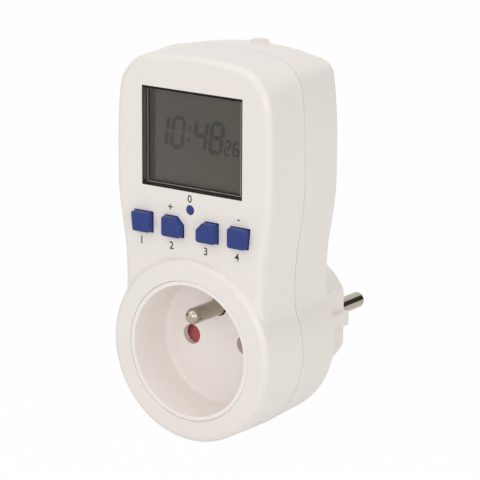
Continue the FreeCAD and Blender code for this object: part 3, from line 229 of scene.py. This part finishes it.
class Nodes:
    """A node tree with one method that adds any node and a few short names for common ones."""

    def __init__(self, tree):
        self.tree = tree

    def add(self, kind, settings=None, inputs=None, output=0):
        """Add a node: its settings first, then the numbers or links of its sockets."""
        node = self.tree.nodes.new(kind)
        for name, setting in (settings or {}).items():
            setattr(node, name, setting)
        for name, value in (inputs or {}).items():
            self.feed(node.inputs[name], value)
        return Value(self, node.outputs[output])

    def feed(self, socket, value):
        """Link a value to a socket, or set a plain number, vector or colour on it."""
        if isinstance(value, Value):
            self.tree.links.new(value.socket, socket)
        elif socket.type == "RGBA":
            socket.default_value = (*value[:3], 1.0)
        else:
            socket.default_value = value

    def mix(self, share, first, second):
        """The colour between two colours."""
        colours = {MIX_SHARE: share, MIX_FIRST: first, MIX_SECOND: second}
        return self.add("ShaderNodeMix", {"data_type": "RGBA"}, colours, output=MIX_RESULT)


class Finish(Nodes):
    """A surface finish: a material, its shader and the patterns that feed it."""

    def __init__(self, name):
        self.material = bpy.data.materials.new(name)
        self.material.use_nodes = True
        super().__init__(self.material.node_tree)
        self.shader = self.tree.nodes["Principled BSDF"]
        self.place = self.add("ShaderNodeTexCoord", output="Object")

    def set(self, **inputs):
        """Feed the shader's sockets, named with underscores for spaces."""
        for name, value in inputs.items():
            self.feed(self.shader.inputs[name.replace("_", " ")], value)

    def noise(self, scale, detail, stretch=None):
        """Soft noise with a number of waves to the metre, drawn out along an axis by a stretch."""
        place = self.place
        if stretch:
            place = self.add("ShaderNodeMapping", None, {"Vector": place, "Scale": stretch})
        return self.add("ShaderNodeTexNoise", None, {"Vector": place, "Scale": scale, "Detail": detail})

    def height(self, value, distance):
        """Raise and sink the surface by a value times a distance."""
        bump = self.add("ShaderNodeBump", None, {"Height": value, "Distance": distance})
        self.set(Normal=bump)

    def axis(self, name):
        """One coordinate of the surface, in metres."""
        return self.add("ShaderNodeSeparateXYZ", None, {0: self.place}, output=name)


def moulded_plastic(name, colour, roughness, grain):
    """Injection-moulded plastic: fine spark-eroded grain, faint flow clouds and polished patches."""
    finish = Finish(name)
    flow = finish.noise(scale=70.0, detail=3.0)
    patch = finish.noise(scale=260.0, detail=4.0)
    texture = finish.noise(scale=2400.0, detail=3.0)
    cloud_share, patch_gloss, grain_gloss = 0.965, 0.14, 0.08
    finish.set(
        Base_Color=finish.mix(flow, dimmed(colour, cloud_share), colour),
        Roughness=roughness + (patch - 0.5) * patch_gloss + (texture - 0.5) * grain_gloss,
    )
    grain_height, flow_height = 0.8, 0.6
    finish.height(texture * grain_height + flow * flow_height, grain)
    return finish.material


def plated_metal(name, colour, roughness):
    """Plated metal: fine turning rings, long scuffs and a few duller spots."""
    finish = Finish(name)
    rings = finish.noise(scale=5200.0, detail=2.0, stretch=(0.05, 1.0, 0.05))
    scuffs = finish.noise(scale=1600.0, detail=4.0, stretch=(1.0, 0.05, 1.0))
    spots = finish.noise(scale=420.0, detail=3.0)
    stained_share, scuff_gloss, spot_level, spot_gloss = 0.82, 0.16, 0.62, 0.06
    finish.set(
        Base_Color=finish.mix(spots, dimmed(colour, stained_share), colour),
        Metallic=1.0,
        Roughness=roughness + (scuffs - 0.5) * scuff_gloss + (spots > spot_level) * spot_gloss,
    )
    ring_height, scuff_height = 0.35, 0.65
    finish.height(rings * ring_height + scuffs * scuff_height, 0.004 * MM)
    return finish.material


def clear_pane(name):
    """Clear plastic pane: see-through, with a mirror film that grows towards grazing looks."""
    finish = Finish(name)
    smear = finish.noise(scale=120.0, detail=3.0)
    film = finish.add("ShaderNodeBsdfGlossy", None, {"Color": (0.55, 0.55, 0.54), "Roughness": 0.065})
    clear = finish.add("ShaderNodeBsdfTransparent", None, {"Color": (0.93, 0.93, 0.92)})
    edge = finish.add("ShaderNodeFresnel", None, {"IOR": 1.46})
    least_film, smear_film = 0.9, 0.2
    share = edge * (least_film + smear * smear_film)
    pane = finish.add("ShaderNodeMixShader", None, {0: share, 1: clear, 2: film})
    finish.feed(finish.tree.nodes["Material Output"].inputs["Surface"], pane)
    return finish.material


def display_cell(name, colour):
    """Liquid crystal cell: a grey reflector with a faint weave, random clouds of tone, and painted shade that
    darkens it from foot to top.
    """
    finish = Finish(name)
    low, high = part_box("lcd_glass")
    # Painted shade: the reflector's colour is darkened towards its top, where shade falls, together with random
    # clouds of tone.
    top_shade_rise = (finish.axis("Z") - low.z) * (1.0 / (high.z - low.z))
    weave = finish.noise(scale=3000.0, detail=1.0, stretch=(1.0, 1.0, 0.2))
    cloud = finish.noise(scale=60.0, detail=2.0)
    top_shade_share, cloud_share, weave_share, cloud_and_shade_dimming = 0.5, 0.48, 0.02, 0.84
    share = top_shade_rise * top_shade_share + cloud * cloud_share + weave * weave_share
    least_rough, weave_rough = 0.5, 0.04
    finish.set(
        Base_Color=finish.mix(share, colour, dimmed(colour, cloud_and_shade_dimming)),
        Roughness=least_rough + weave * weave_rough,
    )
    finish.shader.inputs["Specular IOR Level"].default_value = DULL_SPECULAR
    return finish.material


def ink(name, colour, background, cover):
    """Printed ink or a dark crystal segment, a little uneven in its cover; the same finish also colours the painted
    shadows and the painted highlight line of the display.
    """
    finish = Finish(name)
    uneven = finish.noise(scale=1800.0, detail=3.0)
    least_rough, uneven_rough = 0.5, 0.15
    finish.set(
        Base_Color=finish.mix(uneven * (1.0 - cover), colour, background),
        Roughness=least_rough + uneven * uneven_rough,
    )
    finish.shader.inputs["Specular IOR Level"].default_value = DULL_SPECULAR
    return finish.material


def circuit_board(name, colour):
    """Glass fibre board under green lacquer, with raised tracks and tinned pads."""
    finish = Finish(name)
    cells = finish.add(
        "ShaderNodeTexVoronoi", {"feature": "DISTANCE_TO_EDGE", "distance": "EUCLIDEAN"},
        {"Vector": finish.place, "Scale": 260.0, "Randomness": 0.35},
    )
    dots = finish.add("ShaderNodeTexVoronoi", None, {"Vector": finish.place, "Scale": 390.0, "Randomness": 0.1})
    track_edge, pad_size = 0.09, 0.16
    track = cells > track_edge
    pad = 1.0 - (dots > pad_size)
    fibre = finish.noise(scale=2600.0, detail=2.0, stretch=(1.0, 1.0, 0.15))
    tin = tone(190, 186, 176)
    track_shade, fibre_shine, fibre_share = 0.6, 1.4, 0.3
    lacquer = finish.mix(track, colour, dimmed(colour, track_shade))
    board = finish.mix(fibre * fibre_share, lacquer, dimmed(colour, fibre_shine))
    least_rough, fibre_rough, pad_metal, track_sunk = 0.34, 0.1, 0.9, -0.6
    finish.set(
        Base_Color=finish.mix(pad, board, tin),
        Metallic=pad * pad_metal,
        Roughness=least_rough + fibre * fibre_rough,
    )
    finish.height(track * track_sunk + pad, 0.03 * MM)
    return finish.material


def wound_copper(name, colour):
    """Enamelled wire wound turn beside turn along Y."""
    finish = Finish(name)
    wave = finish.add(
        "ShaderNodeTexWave", {"bands_direction": "Y", "wave_profile": "SIN"},
        {"Vector": finish.place, "Scale": 1600.0, "Distortion": 0.6},
    )
    stain = finish.noise(scale=300.0, detail=3.0)
    stained_share, least_rough, stain_rough = 0.7, 0.3, 0.15
    finish.set(
        Base_Color=finish.mix(stain, colour, dimmed(colour, stained_share)),
        Metallic=0.9,
        Roughness=least_rough + stain * stain_rough,
    )
    finish.height(wave, 0.05 * MM)
    return finish.material


class TimerColours(bpy.types.PropertyGroup):
    """Colours of the timer's finishes."""

    case: FloatVectorProperty(
        name="Case", description="Both case shells", subtype="COLOR", min=0.0, max=1.0,
        default=tone(243, 236, 230),
    )
    insert: FloatVectorProperty(
        name="Socket insert", description="Round socket cup and inner mouldings", subtype="COLOR",
        min=0.0, max=1.0, default=tone(248, 241, 236),
    )
    keys: FloatVectorProperty(
        name="Keys", description="Four keys and the reset key", subtype="COLOR", min=0.0, max=1.0,
        default=tone(26, 52, 126),
    )
    shutter: FloatVectorProperty(
        name="Shutter", description="Safety shutter behind the contact holes", subtype="COLOR",
        min=0.0, max=1.0, default=tone(196, 96, 98),
    )
    metal: FloatVectorProperty(
        name="Pins", description="Nickel plating of the pins", subtype="COLOR", min=0.0, max=1.0,
        default=tone(184, 175, 161),
    )
    display: FloatVectorProperty(
        name="Display", description="Unlit display glass", subtype="COLOR", min=0.0, max=1.0,
        default=tone(111, 99, 84),
    )
    segments: FloatVectorProperty(
        name="Segments", description="Dark segments of the digits", subtype="COLOR", min=0.0, max=1.0,
        default=tone(14, 13, 11),
    )
    print: FloatVectorProperty(
        name="Print", description="Ink of the marks by the keys", subtype="COLOR", min=0.0, max=1.0,
        default=tone(18, 18, 20),
    )


class TimerSizes(bpy.types.PropertyGroup):
    """Sizes of the digits, marks and label that are added to the solids."""

    time: StringProperty(name="Time", description="Hours and minutes that the display shows", default="10:48")
    seconds: StringProperty(name="Seconds", description="Small digits beside the time", default="26")
    digit_height: FloatProperty(
        name="Digit height", description="Height of the hour and minute digits",
        default=8.4 * MM, unit="LENGTH", precision=5,
    )
    small_height: FloatProperty(
        name="Small digit height", description="Height of the seconds digits",
        default=3.8 * MM, unit="LENGTH", precision=5,
    )
    slant: FloatProperty(
        name="Slant", description="Lean of the digits to the right", default=math.radians(8.0),
        subtype="ANGLE", unit="ROTATION",
    )
    mark_height: FloatProperty(
        name="Mark height", description="Height of the printed figures", default=2.2 * MM,
        unit="LENGTH", precision=5,
    )
    label_width: FloatProperty(
        name="Label width", description="Width of the bare label on the back", default=29.0 * MM,
        unit="LENGTH", precision=5,
    )
    label_height: FloatProperty(
        name="Label height", description="Height of the bare label on the back", default=23.0 * MM,
        unit="LENGTH", precision=5,
    )
    label_thick: FloatProperty(
        name="Label thickness", description="Thickness of the label's paper", default=0.12 * MM,
        unit="LENGTH", precision=5,
    )
    label_corner: FloatProperty(
        name="Label corner", description="Radius of the label's corners", default=1.2 * MM,
        unit="LENGTH", precision=5,
    )


class TimerStage(bpy.types.PropertyGroup):
    """Camera and lamps of the plain studio."""

    azimuth: FloatProperty(
        name="Azimuth", description="Camera's turn round the timer, from straight in front",
        default=math.radians(35.158), subtype="ANGLE", unit="ROTATION",
    )
    elevation: FloatProperty(
        name="Elevation", description="Camera's height above the horizon",
        default=math.radians(14.723), subtype="ANGLE", unit="ROTATION",
    )
    roll: FloatProperty(
        name="Roll", description="Camera's lean about its line of sight",
        default=math.radians(0.31), subtype="ANGLE", unit="ROTATION",
    )
    distance: FloatProperty(
        name="Distance", description="Camera's distance from the collar's middle",
        default=801.68 * MM, unit="LENGTH",
    )
    aim_right: FloatProperty(
        name="Aim right", description="Camera's shift to its right", default=14.793 * MM, unit="LENGTH",
    )
    aim_up: FloatProperty(
        name="Aim up", description="Camera's shift upwards", default=31.812 * MM, unit="LENGTH",
    )
    lens: FloatProperty(name="Lens", description="Focal length in millimetres", default=210.636)
    sky: FloatProperty(name="Sky", description="Strength of the even light from all round", default=0.6)
    key: FloatProperty(name="Key lamp", description="Power of the large lamp at the upper left", default=1.3)
    fill: FloatProperty(name="Fill lamp", description="Power of the lamp at the right", default=1.05)
    front: FloatProperty(name="Front lamp", description="Power of the lamp near the camera", default=2.25)
    edge: FloatProperty(name="Edge lamp", description="Power of the narrow lamp that lights the edges", default=0.5)
    top: FloatProperty(name="Top lamp", description="Power of the lamp overhead", default=1.4)


def piece_from(shape, name, finish, body):
    """A named piece from a bmesh, with its finish, riding on a body of the timer."""
    mesh = bpy.data.meshes.new(name)
    shape.to_mesh(mesh)
    shape.free()
    mesh.materials.append(finish)
    piece = bpy.data.objects.new(name, mesh)
    bpy.context.scene.collection.objects.link(piece)
    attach(piece, body)
    return piece


def dress(finish, *names):
    """Give the solids of these names a finish."""
    for name in names:
        node = frame["nodes"][name]
        node.data.materials.clear()
        node.data.materials.append(finish)


def yielding_piece(node, finish, joint, axis):
    """A soft copy of a solid, shown in the rigid one's place."""
    low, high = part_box(node)
    thick = abs((high - low).dot(axis))
    travel = next(entry["range_m"][1] for entry in frame["joints"] if entry["name"] == joint)
    shape = bmesh.new()
    shape.from_mesh(frame["nodes"][node].data)
    bmesh.ops.remove_doubles(shape, verts=shape.verts, dist=WELD_DISTANCE)
    for face in shape.faces:
        face.smooth = True
    for edge in shape.edges:
        edge.smooth = edge.calc_face_angle(0.0) < SMOOTH_ANGLE
    piece = piece_from(shape, node + "_soft", finish, "casing")
    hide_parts(node)
    1.0 - travel / thick
    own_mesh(piece)


def add_plate(shape, size, place, corner=0.0, segments=1):
    """Add a plate of size (across, deep, high) about a place, its corners along Y cut or rounded."""
    matrix = Matrix.Translation(place) @ Matrix.Diagonal((*size, 1.0))
    made = bmesh.ops.create_cube(shape, size=1.0, matrix=matrix)["verts"]
    if corner > 0.0:
        upright = set()
        for vert in made:
            for edge in vert.link_edges:
                along = edge.verts[1].co - edge.verts[0].co
                if abs(along.x) < ALONG_Y and abs(along.z) < ALONG_Y:
                    upright.add(edge)
        bmesh.ops.bevel(
            shape, geom=list(upright), offset=corner, affect="EDGES", segments=segments,
            profile=0.5, material=-1,
        )


def add_digit(shape, figure, middle, height):
    """Add one seven-segment figure of a height about a middle."""
    width = height * DIGIT_WIDTH
    stroke = height * DIGIT_STROKE
    overlap = stroke * STROKE_OVERLAP
    point = stroke * STROKE_POINT
    lying_size = (width - overlap, PRINT_THICK, stroke)
    upright_size = (stroke, PRINT_THICK, height / 2 - overlap)
    places = {
        "a": (0.0, height / 2), "g": (0.0, 0.0), "d": (0.0, -height / 2),
        "b": (width / 2, height / 4), "c": (width / 2, -height / 4),
        "e": (-width / 2, -height / 4), "f": (-width / 2, height / 4),
    }
    for segment in LIT_SEGMENTS[figure]:
        across, up = places[segment]
        size = lying_size if segment in "agd" else upright_size
        add_plate(shape, size, middle + Vector((across, 0.0, up)), corner=point)


def display_digits(name, sizes, finish, shift, depth):
    """The time and the seconds as thin segments in front of the display glass; a shifted copy in paler ink serves
    as their painted shadow.
    """
    low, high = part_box("lcd_glass")
    line = (low.z + high.z) / 2 + DIGITS_LIFT
    shape = bmesh.new()
    pitch = sizes.digit_height * DIGIT_PITCH
    dot = sizes.digit_height * COLON_DOT
    across = DIGITS_LEFT
    for figure in sizes.time:
        if figure == ":":
            for level in (-1, 1):
                place = Vector((across - pitch * COLON_BACK, 0.0, level * sizes.digit_height * COLON_LIFT))
                add_plate(shape, (dot, PRINT_THICK, dot), place)
            across += pitch * COLON_PITCH
        else:
            add_digit(shape, figure, Vector((across, 0.0, 0.0)), sizes.digit_height)
            across += pitch
    drop = (sizes.small_height - sizes.digit_height) / 2
    across -= SECONDS_NEARER
    for figure in sizes.seconds:
        add_digit(shape, figure, Vector((across, 0.0, drop)), sizes.small_height)
        across += sizes.small_height * SECONDS_PITCH
    lean = Matrix.Identity(4)
    lean[0][2] = math.tan(sizes.slant)
    place = Matrix.Translation((shift, GLASS_FRONT - depth, line - shift))
    bmesh.ops.transform(shape, matrix=place @ lean, verts=shape.verts)
    piece_from(shape, name, finish, "casing")


def window_outline(name, finish, line, top_line, inset_across, inset_up, depth):
    """A thin outline of the window, set in from the opening's edge, at a depth behind the pane's front; with its
    finish it serves as the painted shadow and the painted highlight line round the window.
    """
    low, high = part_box("display_window")
    across = (high.x - low.x) / 2 - WINDOW_LIP - inset_across
    foot = low.z + WINDOW_LIP + inset_up
    head = high.z - WINDOW_LIP - inset_up
    front = low.y + depth
    wide = 2 * (across - line)
    shape = bmesh.new()
    for side in (-1, 1):
        place = Vector((side * (across - line / 2), front, (foot + head) / 2))
        add_plate(shape, (line, PRINT_THICK, head - foot), place)
    add_plate(shape, (wide, PRINT_THICK, line), Vector((0.0, front, foot + line / 2)))
    add_plate(shape, (wide, PRINT_THICK, top_line), Vector((0.0, front, head - top_line / 2)))
    piece_from(shape, name, finish, "casing")


def text_mesh(text, height):
    """A thin flat mesh of one figure in the built-in plain font, its capitals of a height, facing -Y."""
    curve = bpy.data.curves.new("figure", "FONT")
    curve.body = text
    curve.size = height / CAPITAL_SHARE
    curve.align_x = "CENTER"
    curve.extrude = INK_THICK
    curve.offset = INK_SPREAD
    curve.resolution_u = 6
    carrier = bpy.data.objects.new("figure", curve)
    mesh = bpy.data.meshes.new_from_object(carrier)
    bpy.data.objects.remove(carrier)
    mesh.transform(Matrix.Rotation(math.pi / 2, 4, "X"))
    return mesh


def printed_marks(sizes, finish):
    """Plain figures below the keys and signs above them, printed on the face."""
    shape = bmesh.new()
    for text, across, middle in PRINTED_MARKS:
        mesh = text_mesh(text, sizes.mark_height)
        mesh.transform(Matrix.Translation((across * MM, FACE_FRONT, middle * MM - sizes.mark_height / 2)))
        shape.from_mesh(mesh)
        bpy.data.meshes.remove(mesh)
    piece_from(shape, "printed_marks", finish, "casing")


def rear_label(sizes, finish):
    """Bare paper label in the shallow recess of the back."""
    shape = bmesh.new()
    place = Vector((0.0, BACK_FACE - LABEL_RECESS + sizes.label_thick / 2, LABEL_MIDDLE))
    size = (sizes.label_width, sizes.label_thick, sizes.label_height)
    add_plate(shape, size, place, corner=sizes.label_corner, segments=6)
    piece_from(shape, "rear_label", finish, "casing")


def socket_marks(finish):
    """Small moulded pad and ejector ring on the socket's floor."""
    shape = bmesh.new()
    pad = Vector((PAD_MIDDLE[0], SOCKET_FLOOR, PAD_MIDDLE[1]))
    add_plate(shape, PAD_SIZE, pad, corner=PAD_CORNER, segments=2)
    centre = Vector((RING_MIDDLE[0], SOCKET_FLOOR, RING_MIDDLE[1]))
    ring = []
    for radius in RING_RADII:
        for lift in (-RING_RISE, RING_RISE):
            ring.append(shape.verts.new(centre + Vector((radius, lift, 0.0))))
    face = shape.faces.new((ring[0], ring[1], ring[3], ring[2]))
    bmesh.ops.spin(
        shape, geom=[face, *face.edges, *face.verts], cent=centre, axis=(0.0, 1.0, 0.0),
        angle=2 * math.pi, steps=RING_STEPS, use_merge=True, use_duplicate=False,
    )
    bmesh.ops.recalc_face_normals(shape, faces=shape.faces)
    piece_from(shape, "socket_marks", finish, "casing")


class TIMER_OT_case(bpy.types.Operator):
    """Dress both case shells and add the bare label on the back."""

    bl_idname = "timer.case"
    bl_label = "Case"

    def execute(self, context):
        colours = context.scene.timer_colours
        plastic = moulded_plastic("case_plastic", colours.case, roughness=0.36, grain=0.005 * MM)
        dress(plastic, "front_cover", "rear_cover")
        paper = moulded_plastic("label_paper", tone(226, 226, 224), roughness=0.6, grain=0.002 * MM)
        rear_label(context.scene.timer_sizes, paper)
        return {"FINISHED"}


class TIMER_OT_socket(bpy.types.Operator):
    """Dress the socket insert, its shutter and the mouldings behind it."""

    bl_idname = "timer.socket"
    bl_label = "Socket"

    def execute(self, context):
        colours = context.scene.timer_colours
        plastic = moulded_plastic("insert_plastic", colours.insert, roughness=0.36, grain=0.004 * MM)
        dress(plastic, "socket_insert", "shutter_retainer", "contact_block", "pin_carrier")
        socket_marks(plastic)
        red = moulded_plastic("shutter_plastic", colours.shutter, roughness=0.48, grain=0.004 * MM)
        dress(red, "shutter")
        return {"FINISHED"}


class TIMER_OT_keys(bpy.types.Operator):
    """Dress the keys, their rubber domes and print the marks beside them."""

    bl_idname = "timer.keys"
    bl_label = "Keys"

    def execute(self, context):
        colours = context.scene.timer_colours
        blue = moulded_plastic("key_plastic", colours.keys, roughness=0.4, grain=0.008 * MM)
        dress(blue, "reset_key", "key_outer_left", "key_inner_left", "key_inner_right", "key_outer_right")
        rubber = moulded_plastic("dome_rubber", tone(120, 122, 124), roughness=0.7, grain=0.01 * MM)
        for key, dome in DOMES.items():
            yielding_piece(dome, rubber, key + "_press", Vector((0.0, 1.0, 0.0)))
        marks = ink("mark_ink", colours.print, colours.case, cover=0.85)
        printed_marks(context.scene.timer_sizes, marks)
        return {"FINISHED"}


class TIMER_OT_display(bpy.types.Operator):
    """Dress the window, the display frame and its glass, and show a time on it."""

    bl_idname = "timer.display"
    bl_label = "Display"

    def execute(self, context):
        colours = context.scene.timer_colours
        sizes = context.scene.timer_sizes
        dress(clear_pane("window_pane"), "display_window")
        black = moulded_plastic("frame_plastic", tone(34, 34, 35), roughness=0.5, grain=0.006 * MM)
        dress(black, "lcd_frame")
        dress(display_cell("display_cell", colours.display), "lcd_glass")
        rubber = moulded_plastic("strip_rubber", tone(86, 84, 82), roughness=0.7, grain=0.01 * MM)
        dress(rubber, "contact_strips")
        # Painted shadow: a paler copy of the digits, shifted right and down, stands in for the shadow the segments
        # throw on the reflector behind.
        between = [(dark + 2 * pale) / 3 for dark, pale in zip(colours.segments, colours.display)]
        shade = ink("digit_shade", between, colours.display, cover=0.8)
        display_digits("digit_shadows", sizes, shade, shift=0.3 * MM, depth=0.02 * MM)
        crystal = ink("digit_crystal", colours.segments, colours.display, cover=0.8)
        display_digits("digit_segments", sizes, crystal, shift=0.0, depth=0.08 * MM)
        # Painted shadow: a near-black outline round the window, thickest at the top, stands in for the shade in the
        # gap at the opening's edge.
        rim = ink("rim_shade", tone(12, 10, 8), colours.display, cover=1.0)
        window_outline(
            "window_rim", rim,
            line=0.3 * MM, top_line=0.75 * MM, inset_across=0.0, inset_up=0.0, depth=-0.02 * MM,
        )
        # Painted highlight: a pale thin line inside the window stands in for the light caught by the edge of the
        # ledge behind the pane.
        shine = ink("edge_shine", tone(238, 230, 218), colours.display, cover=1.0)
        window_outline(
            "window_step", shine,
            line=0.16 * MM, top_line=0.2 * MM, inset_across=1.2 * MM, inset_up=0.85 * MM, depth=1.0 * MM,
        )
        return {"FINISHED"}


class TIMER_OT_metal(bpy.types.Operator):
    """Dress the pins, contacts, bars, springs and screws."""

    bl_idname = "timer.metal"
    bl_label = "Metal"

    def execute(self, context):
        colours = context.scene.timer_colours
        nickel = plated_metal("pin_nickel", colours.metal, roughness=0.14)
        dress(nickel, "earth_pin", "plug_pin_live", "plug_pin_neutral", "earth_clips", "earth_sleeve")
        brass = plated_metal("contact_brass", tone(196, 160, 92), roughness=0.28)
        dress(brass, "live_contact", "neutral_contact", "live_in_bar", "live_out_bar", "neutral_bar", "earth_bar")
        steel = plated_metal("screw_steel", tone(168, 168, 170), roughness=0.3)
        dress(
            steel, "case_screws", "retainer_screws", "carrier_screws", "board_screws", "power_board_screws",
            "relay_yoke", "relay_armature", "quartz_crystal", "backup_battery", "battery_tabs",
        )
        yielding_piece("shutter_spring", steel, "shutter_slide", Vector((0.0, 0.0, 1.0)))
        return {"FINISHED"}


class TIMER_OT_electronics(bpy.types.Operator):
    """Dress both boards and what stands on them."""

    bl_idname = "timer.electronics"
    bl_label = "Electronics"

    def execute(self, context):
        dress(circuit_board("board_lacquer", tone(24, 92, 52)), "control_board", "power_board")
        black = moulded_plastic("part_black", tone(30, 30, 32), roughness=0.45, grain=0.006 * MM)
        dress(black, "controller_chip", "board_link", "rectifier_diodes", "smoothing_capacitor")
        blue = moulded_plastic("relay_plastic", tone(32, 74, 150), roughness=0.3, grain=0.003 * MM)
        dress(blue, "relay_case", "relay_base")
        resin = moulded_plastic("capacitor_resin", tone(196, 150, 40), roughness=0.35, grain=0.01 * MM)
        dress(resin, "dropper_capacitor", "varistor")
        dress(wound_copper("coil_wire", tone(184, 104, 58)), "relay_coil")
        return {"FINISHED"}


def around(azimuth, elevation):
    """The direction at an azimuth from straight in front and an elevation."""
    return Vector((
        math.sin(azimuth) * math.cos(elevation),
        -math.cos(azimuth) * math.cos(elevation),
        math.sin(elevation),
    ))


def area_lamp(name, power, width, height, place, target):
    """A lamp of a width and height at a place that shines on a target."""
    lamp = bpy.data.lights.new(name, "AREA")
    lamp.shape = "RECTANGLE"
    lamp.energy = power
    lamp.size = width
    lamp.size_y = height
    holder = bpy.data.objects.new(name, lamp)
    holder.location = place
    holder.rotation_euler = (target - place).to_track_quat("-Z", "Y").to_euler()
    bpy.context.scene.collection.objects.link(holder)


def flat_grid(name, finish, matrix, half_side):
    """A square of the studio, on its own and not part of the timer."""
    shape = bmesh.new()
    bmesh.ops.create_grid(shape, x_segments=1, y_segments=1, size=half_side, matrix=matrix)
    mesh = bpy.data.meshes.new(name)
    shape.to_mesh(mesh)
    shape.free()
    mesh.materials.append(finish)
    square = bpy.data.objects.new(name, mesh)
    bpy.context.scene.collection.objects.link(square)
    return square


def dark_card(name, finish, target, azimuth, half_side):
    """A dark card beside the timer, at an azimuth, that only shows in its metal and gloss."""
    place = target + around(math.radians(azimuth), 0.0) * CARD_DISTANCE
    facing = (target - place).to_track_quat("Z", "Y").to_matrix().to_4x4()
    card = flat_grid(name, finish, Matrix.Translation(place) @ facing, half_side)
    card.visible_camera = False
    card.visible_diffuse = False
    card.visible_transmission = False
    card.visible_shadow = False


def card_felt():
    """Dark felt for the cards."""
    finish = Finish("card_felt")
    fibre = finish.noise(scale=700.0, detail=3.0)
    finish.set(Base_Color=finish.mix(fibre, tone(66, 62, 56), tone(80, 76, 70)), Roughness=0.95)
    return finish.material


def white_floor(level):
    """A wide pale floor that shows white to the camera and keeps a soft shadow."""
    finish = Finish("floor_paper")
    fibre = finish.noise(scale=900.0, detail=3.0)
    finish.set(Base_Color=finish.mix(fibre, (0.9, 0.9, 0.9), (0.93, 0.93, 0.93)), Roughness=0.9)
    finish.shader.inputs["Specular IOR Level"].default_value = 0.0
    glow = finish.add("ShaderNodeEmission", None, {"Color": (1.0, 1.0, 1.0), "Strength": 1.0})
    paper = Value(finish, finish.shader.outputs[0])
    share = background_rays(finish) * FLOOR_GLOW
    both = finish.add("ShaderNodeMixShader", None, {0: share, 1: paper, 2: glow})
    finish.feed(finish.tree.nodes["Material Output"].inputs["Surface"], both)
    flat_grid("floor", finish.material, Matrix.Translation((0.0, 0.0, level)), FLOOR_HALF_SIDE)


def background_rays(nodes):
    """1 for rays that show the background: from the camera, off gloss or through glass."""
    camera = nodes.add("ShaderNodeLightPath", output="Is Camera Ray")
    glossy = nodes.add("ShaderNodeLightPath", output="Is Glossy Ray")
    passing = nodes.add("ShaderNodeLightPath", output="Is Transmission Ray")
    return camera | glossy | passing


def even_sky(strength):
    """White all round for camera and gloss, and softer light on the timer."""
    world = bpy.data.worlds.new("studio")
    world.use_nodes = True
    bpy.context.scene.world = world
    nodes = Nodes(world.node_tree)
    seen = background_rays(nodes)
    background = world.node_tree.nodes["Background"]
    background.inputs["Color"].default_value = (1.0, 1.0, 1.0, 1.0)
    nodes.feed(background.inputs["Strength"], seen * (1.0 - strength) + strength)


def photo_camera(stage):
    """The camera at the photograph's place, aimed past the middle of the socket's collar."""
    back = around(stage.azimuth, stage.elevation)
    level = Vector((math.cos(stage.azimuth), math.sin(stage.azimuth), 0.0))
    upright = back.cross(level)
    turned = Matrix((level, upright, back)).transposed() @ Matrix.Rotation(stage.roll, 3, "Z")
    right, up = turned.col[0], turned.col[1]
    data = bpy.data.cameras.new("photo_camera")
    data.lens = stage.lens
    data.sensor_width = SENSOR_WIDTH
    data.clip_start = NEAR_CLIP
    camera = bpy.data.objects.new("photo_camera", data)
    aim = Vector((0.0, COLLAR_FRONT, 0.0))
    camera.matrix_world = (
        Matrix.Translation(aim + back * stage.distance + right * stage.aim_right + up * stage.aim_up)
        @ turned.to_4x4()
    )
    bpy.context.scene.collection.objects.link(camera)
    bpy.context.scene.camera = camera


class TIMER_OT_stage(bpy.types.Operator):
    """Set the pale floor, the sky, the lamps, the cards and the camera."""

    bl_idname = "timer.stage"
    bl_label = "Studio"

    def execute(self, context):
        stage = context.scene.timer_stage
        low, high = CAD_BOX
        middle = (low + high) / 2
        white_floor(low.z - FLOOR_GAP)
        even_sky(stage.sky)
        for name, (width, height, azimuth, elevation, distance) in LAMPS.items():
            place = middle + around(math.radians(azimuth), math.radians(elevation)) * distance
            area_lamp(name, getattr(stage, name.split("_")[0]), width, height, place, middle)
        felt = card_felt()
        for name, (azimuth, half_side) in CARDS.items():
            dark_card(name, felt, middle, azimuth, half_side)
        photo_camera(stage)
        context.scene.view_settings.view_transform = "Standard"
        return {"FINISHED"}


class TIMER_PT_looks(bpy.types.Panel):
    """Sizes, colours and steps of the timer's looks."""

    bl_idname = "TIMER_PT_looks"
    bl_label = "Plug-in timer"
    bl_space_type = "VIEW_3D"
    bl_region_type = "UI"
    bl_category = "Timer"

    def draw(self, context):
        for group in (context.scene.timer_colours, context.scene.timer_sizes, context.scene.timer_stage):
            box = self.layout.box()
            for name in group.__annotations__:
                box.prop(group, name)
        for step in STEPS:
            self.layout.operator(step.bl_idname)


GROUPS = {"timer_colours": TimerColours, "timer_sizes": TimerSizes, "timer_stage": TimerStage}
STEPS = [
    TIMER_OT_case, TIMER_OT_socket, TIMER_OT_keys, TIMER_OT_display, TIMER_OT_metal,
    TIMER_OT_electronics, TIMER_OT_stage,
]


def register():
    """Make the groups, the steps and the panel known."""
    for kind in (*GROUPS.values(), *STEPS, TIMER_PT_looks):
        bpy.utils.register_class(kind)
    for name, kind in GROUPS.items():
        setattr(bpy.types.Scene, name, PointerProperty(type=kind))


def unregister():
    """Take the groups, the steps and the panel away again."""
    for name in GROUPS:
        delattr(bpy.types.Scene, name)
    for kind in (TIMER_PT_looks, *reversed(STEPS), *reversed(list(GROUPS.values()))):
        bpy.utils.unregister_class(kind)


def main():
    """Run every step in order."""
    register()
    for step in STEPS:
        family, name = step.bl_idname.split(".")
        getattr(getattr(bpy.ops, family), name)()


if __name__ == "__main__":
    main()
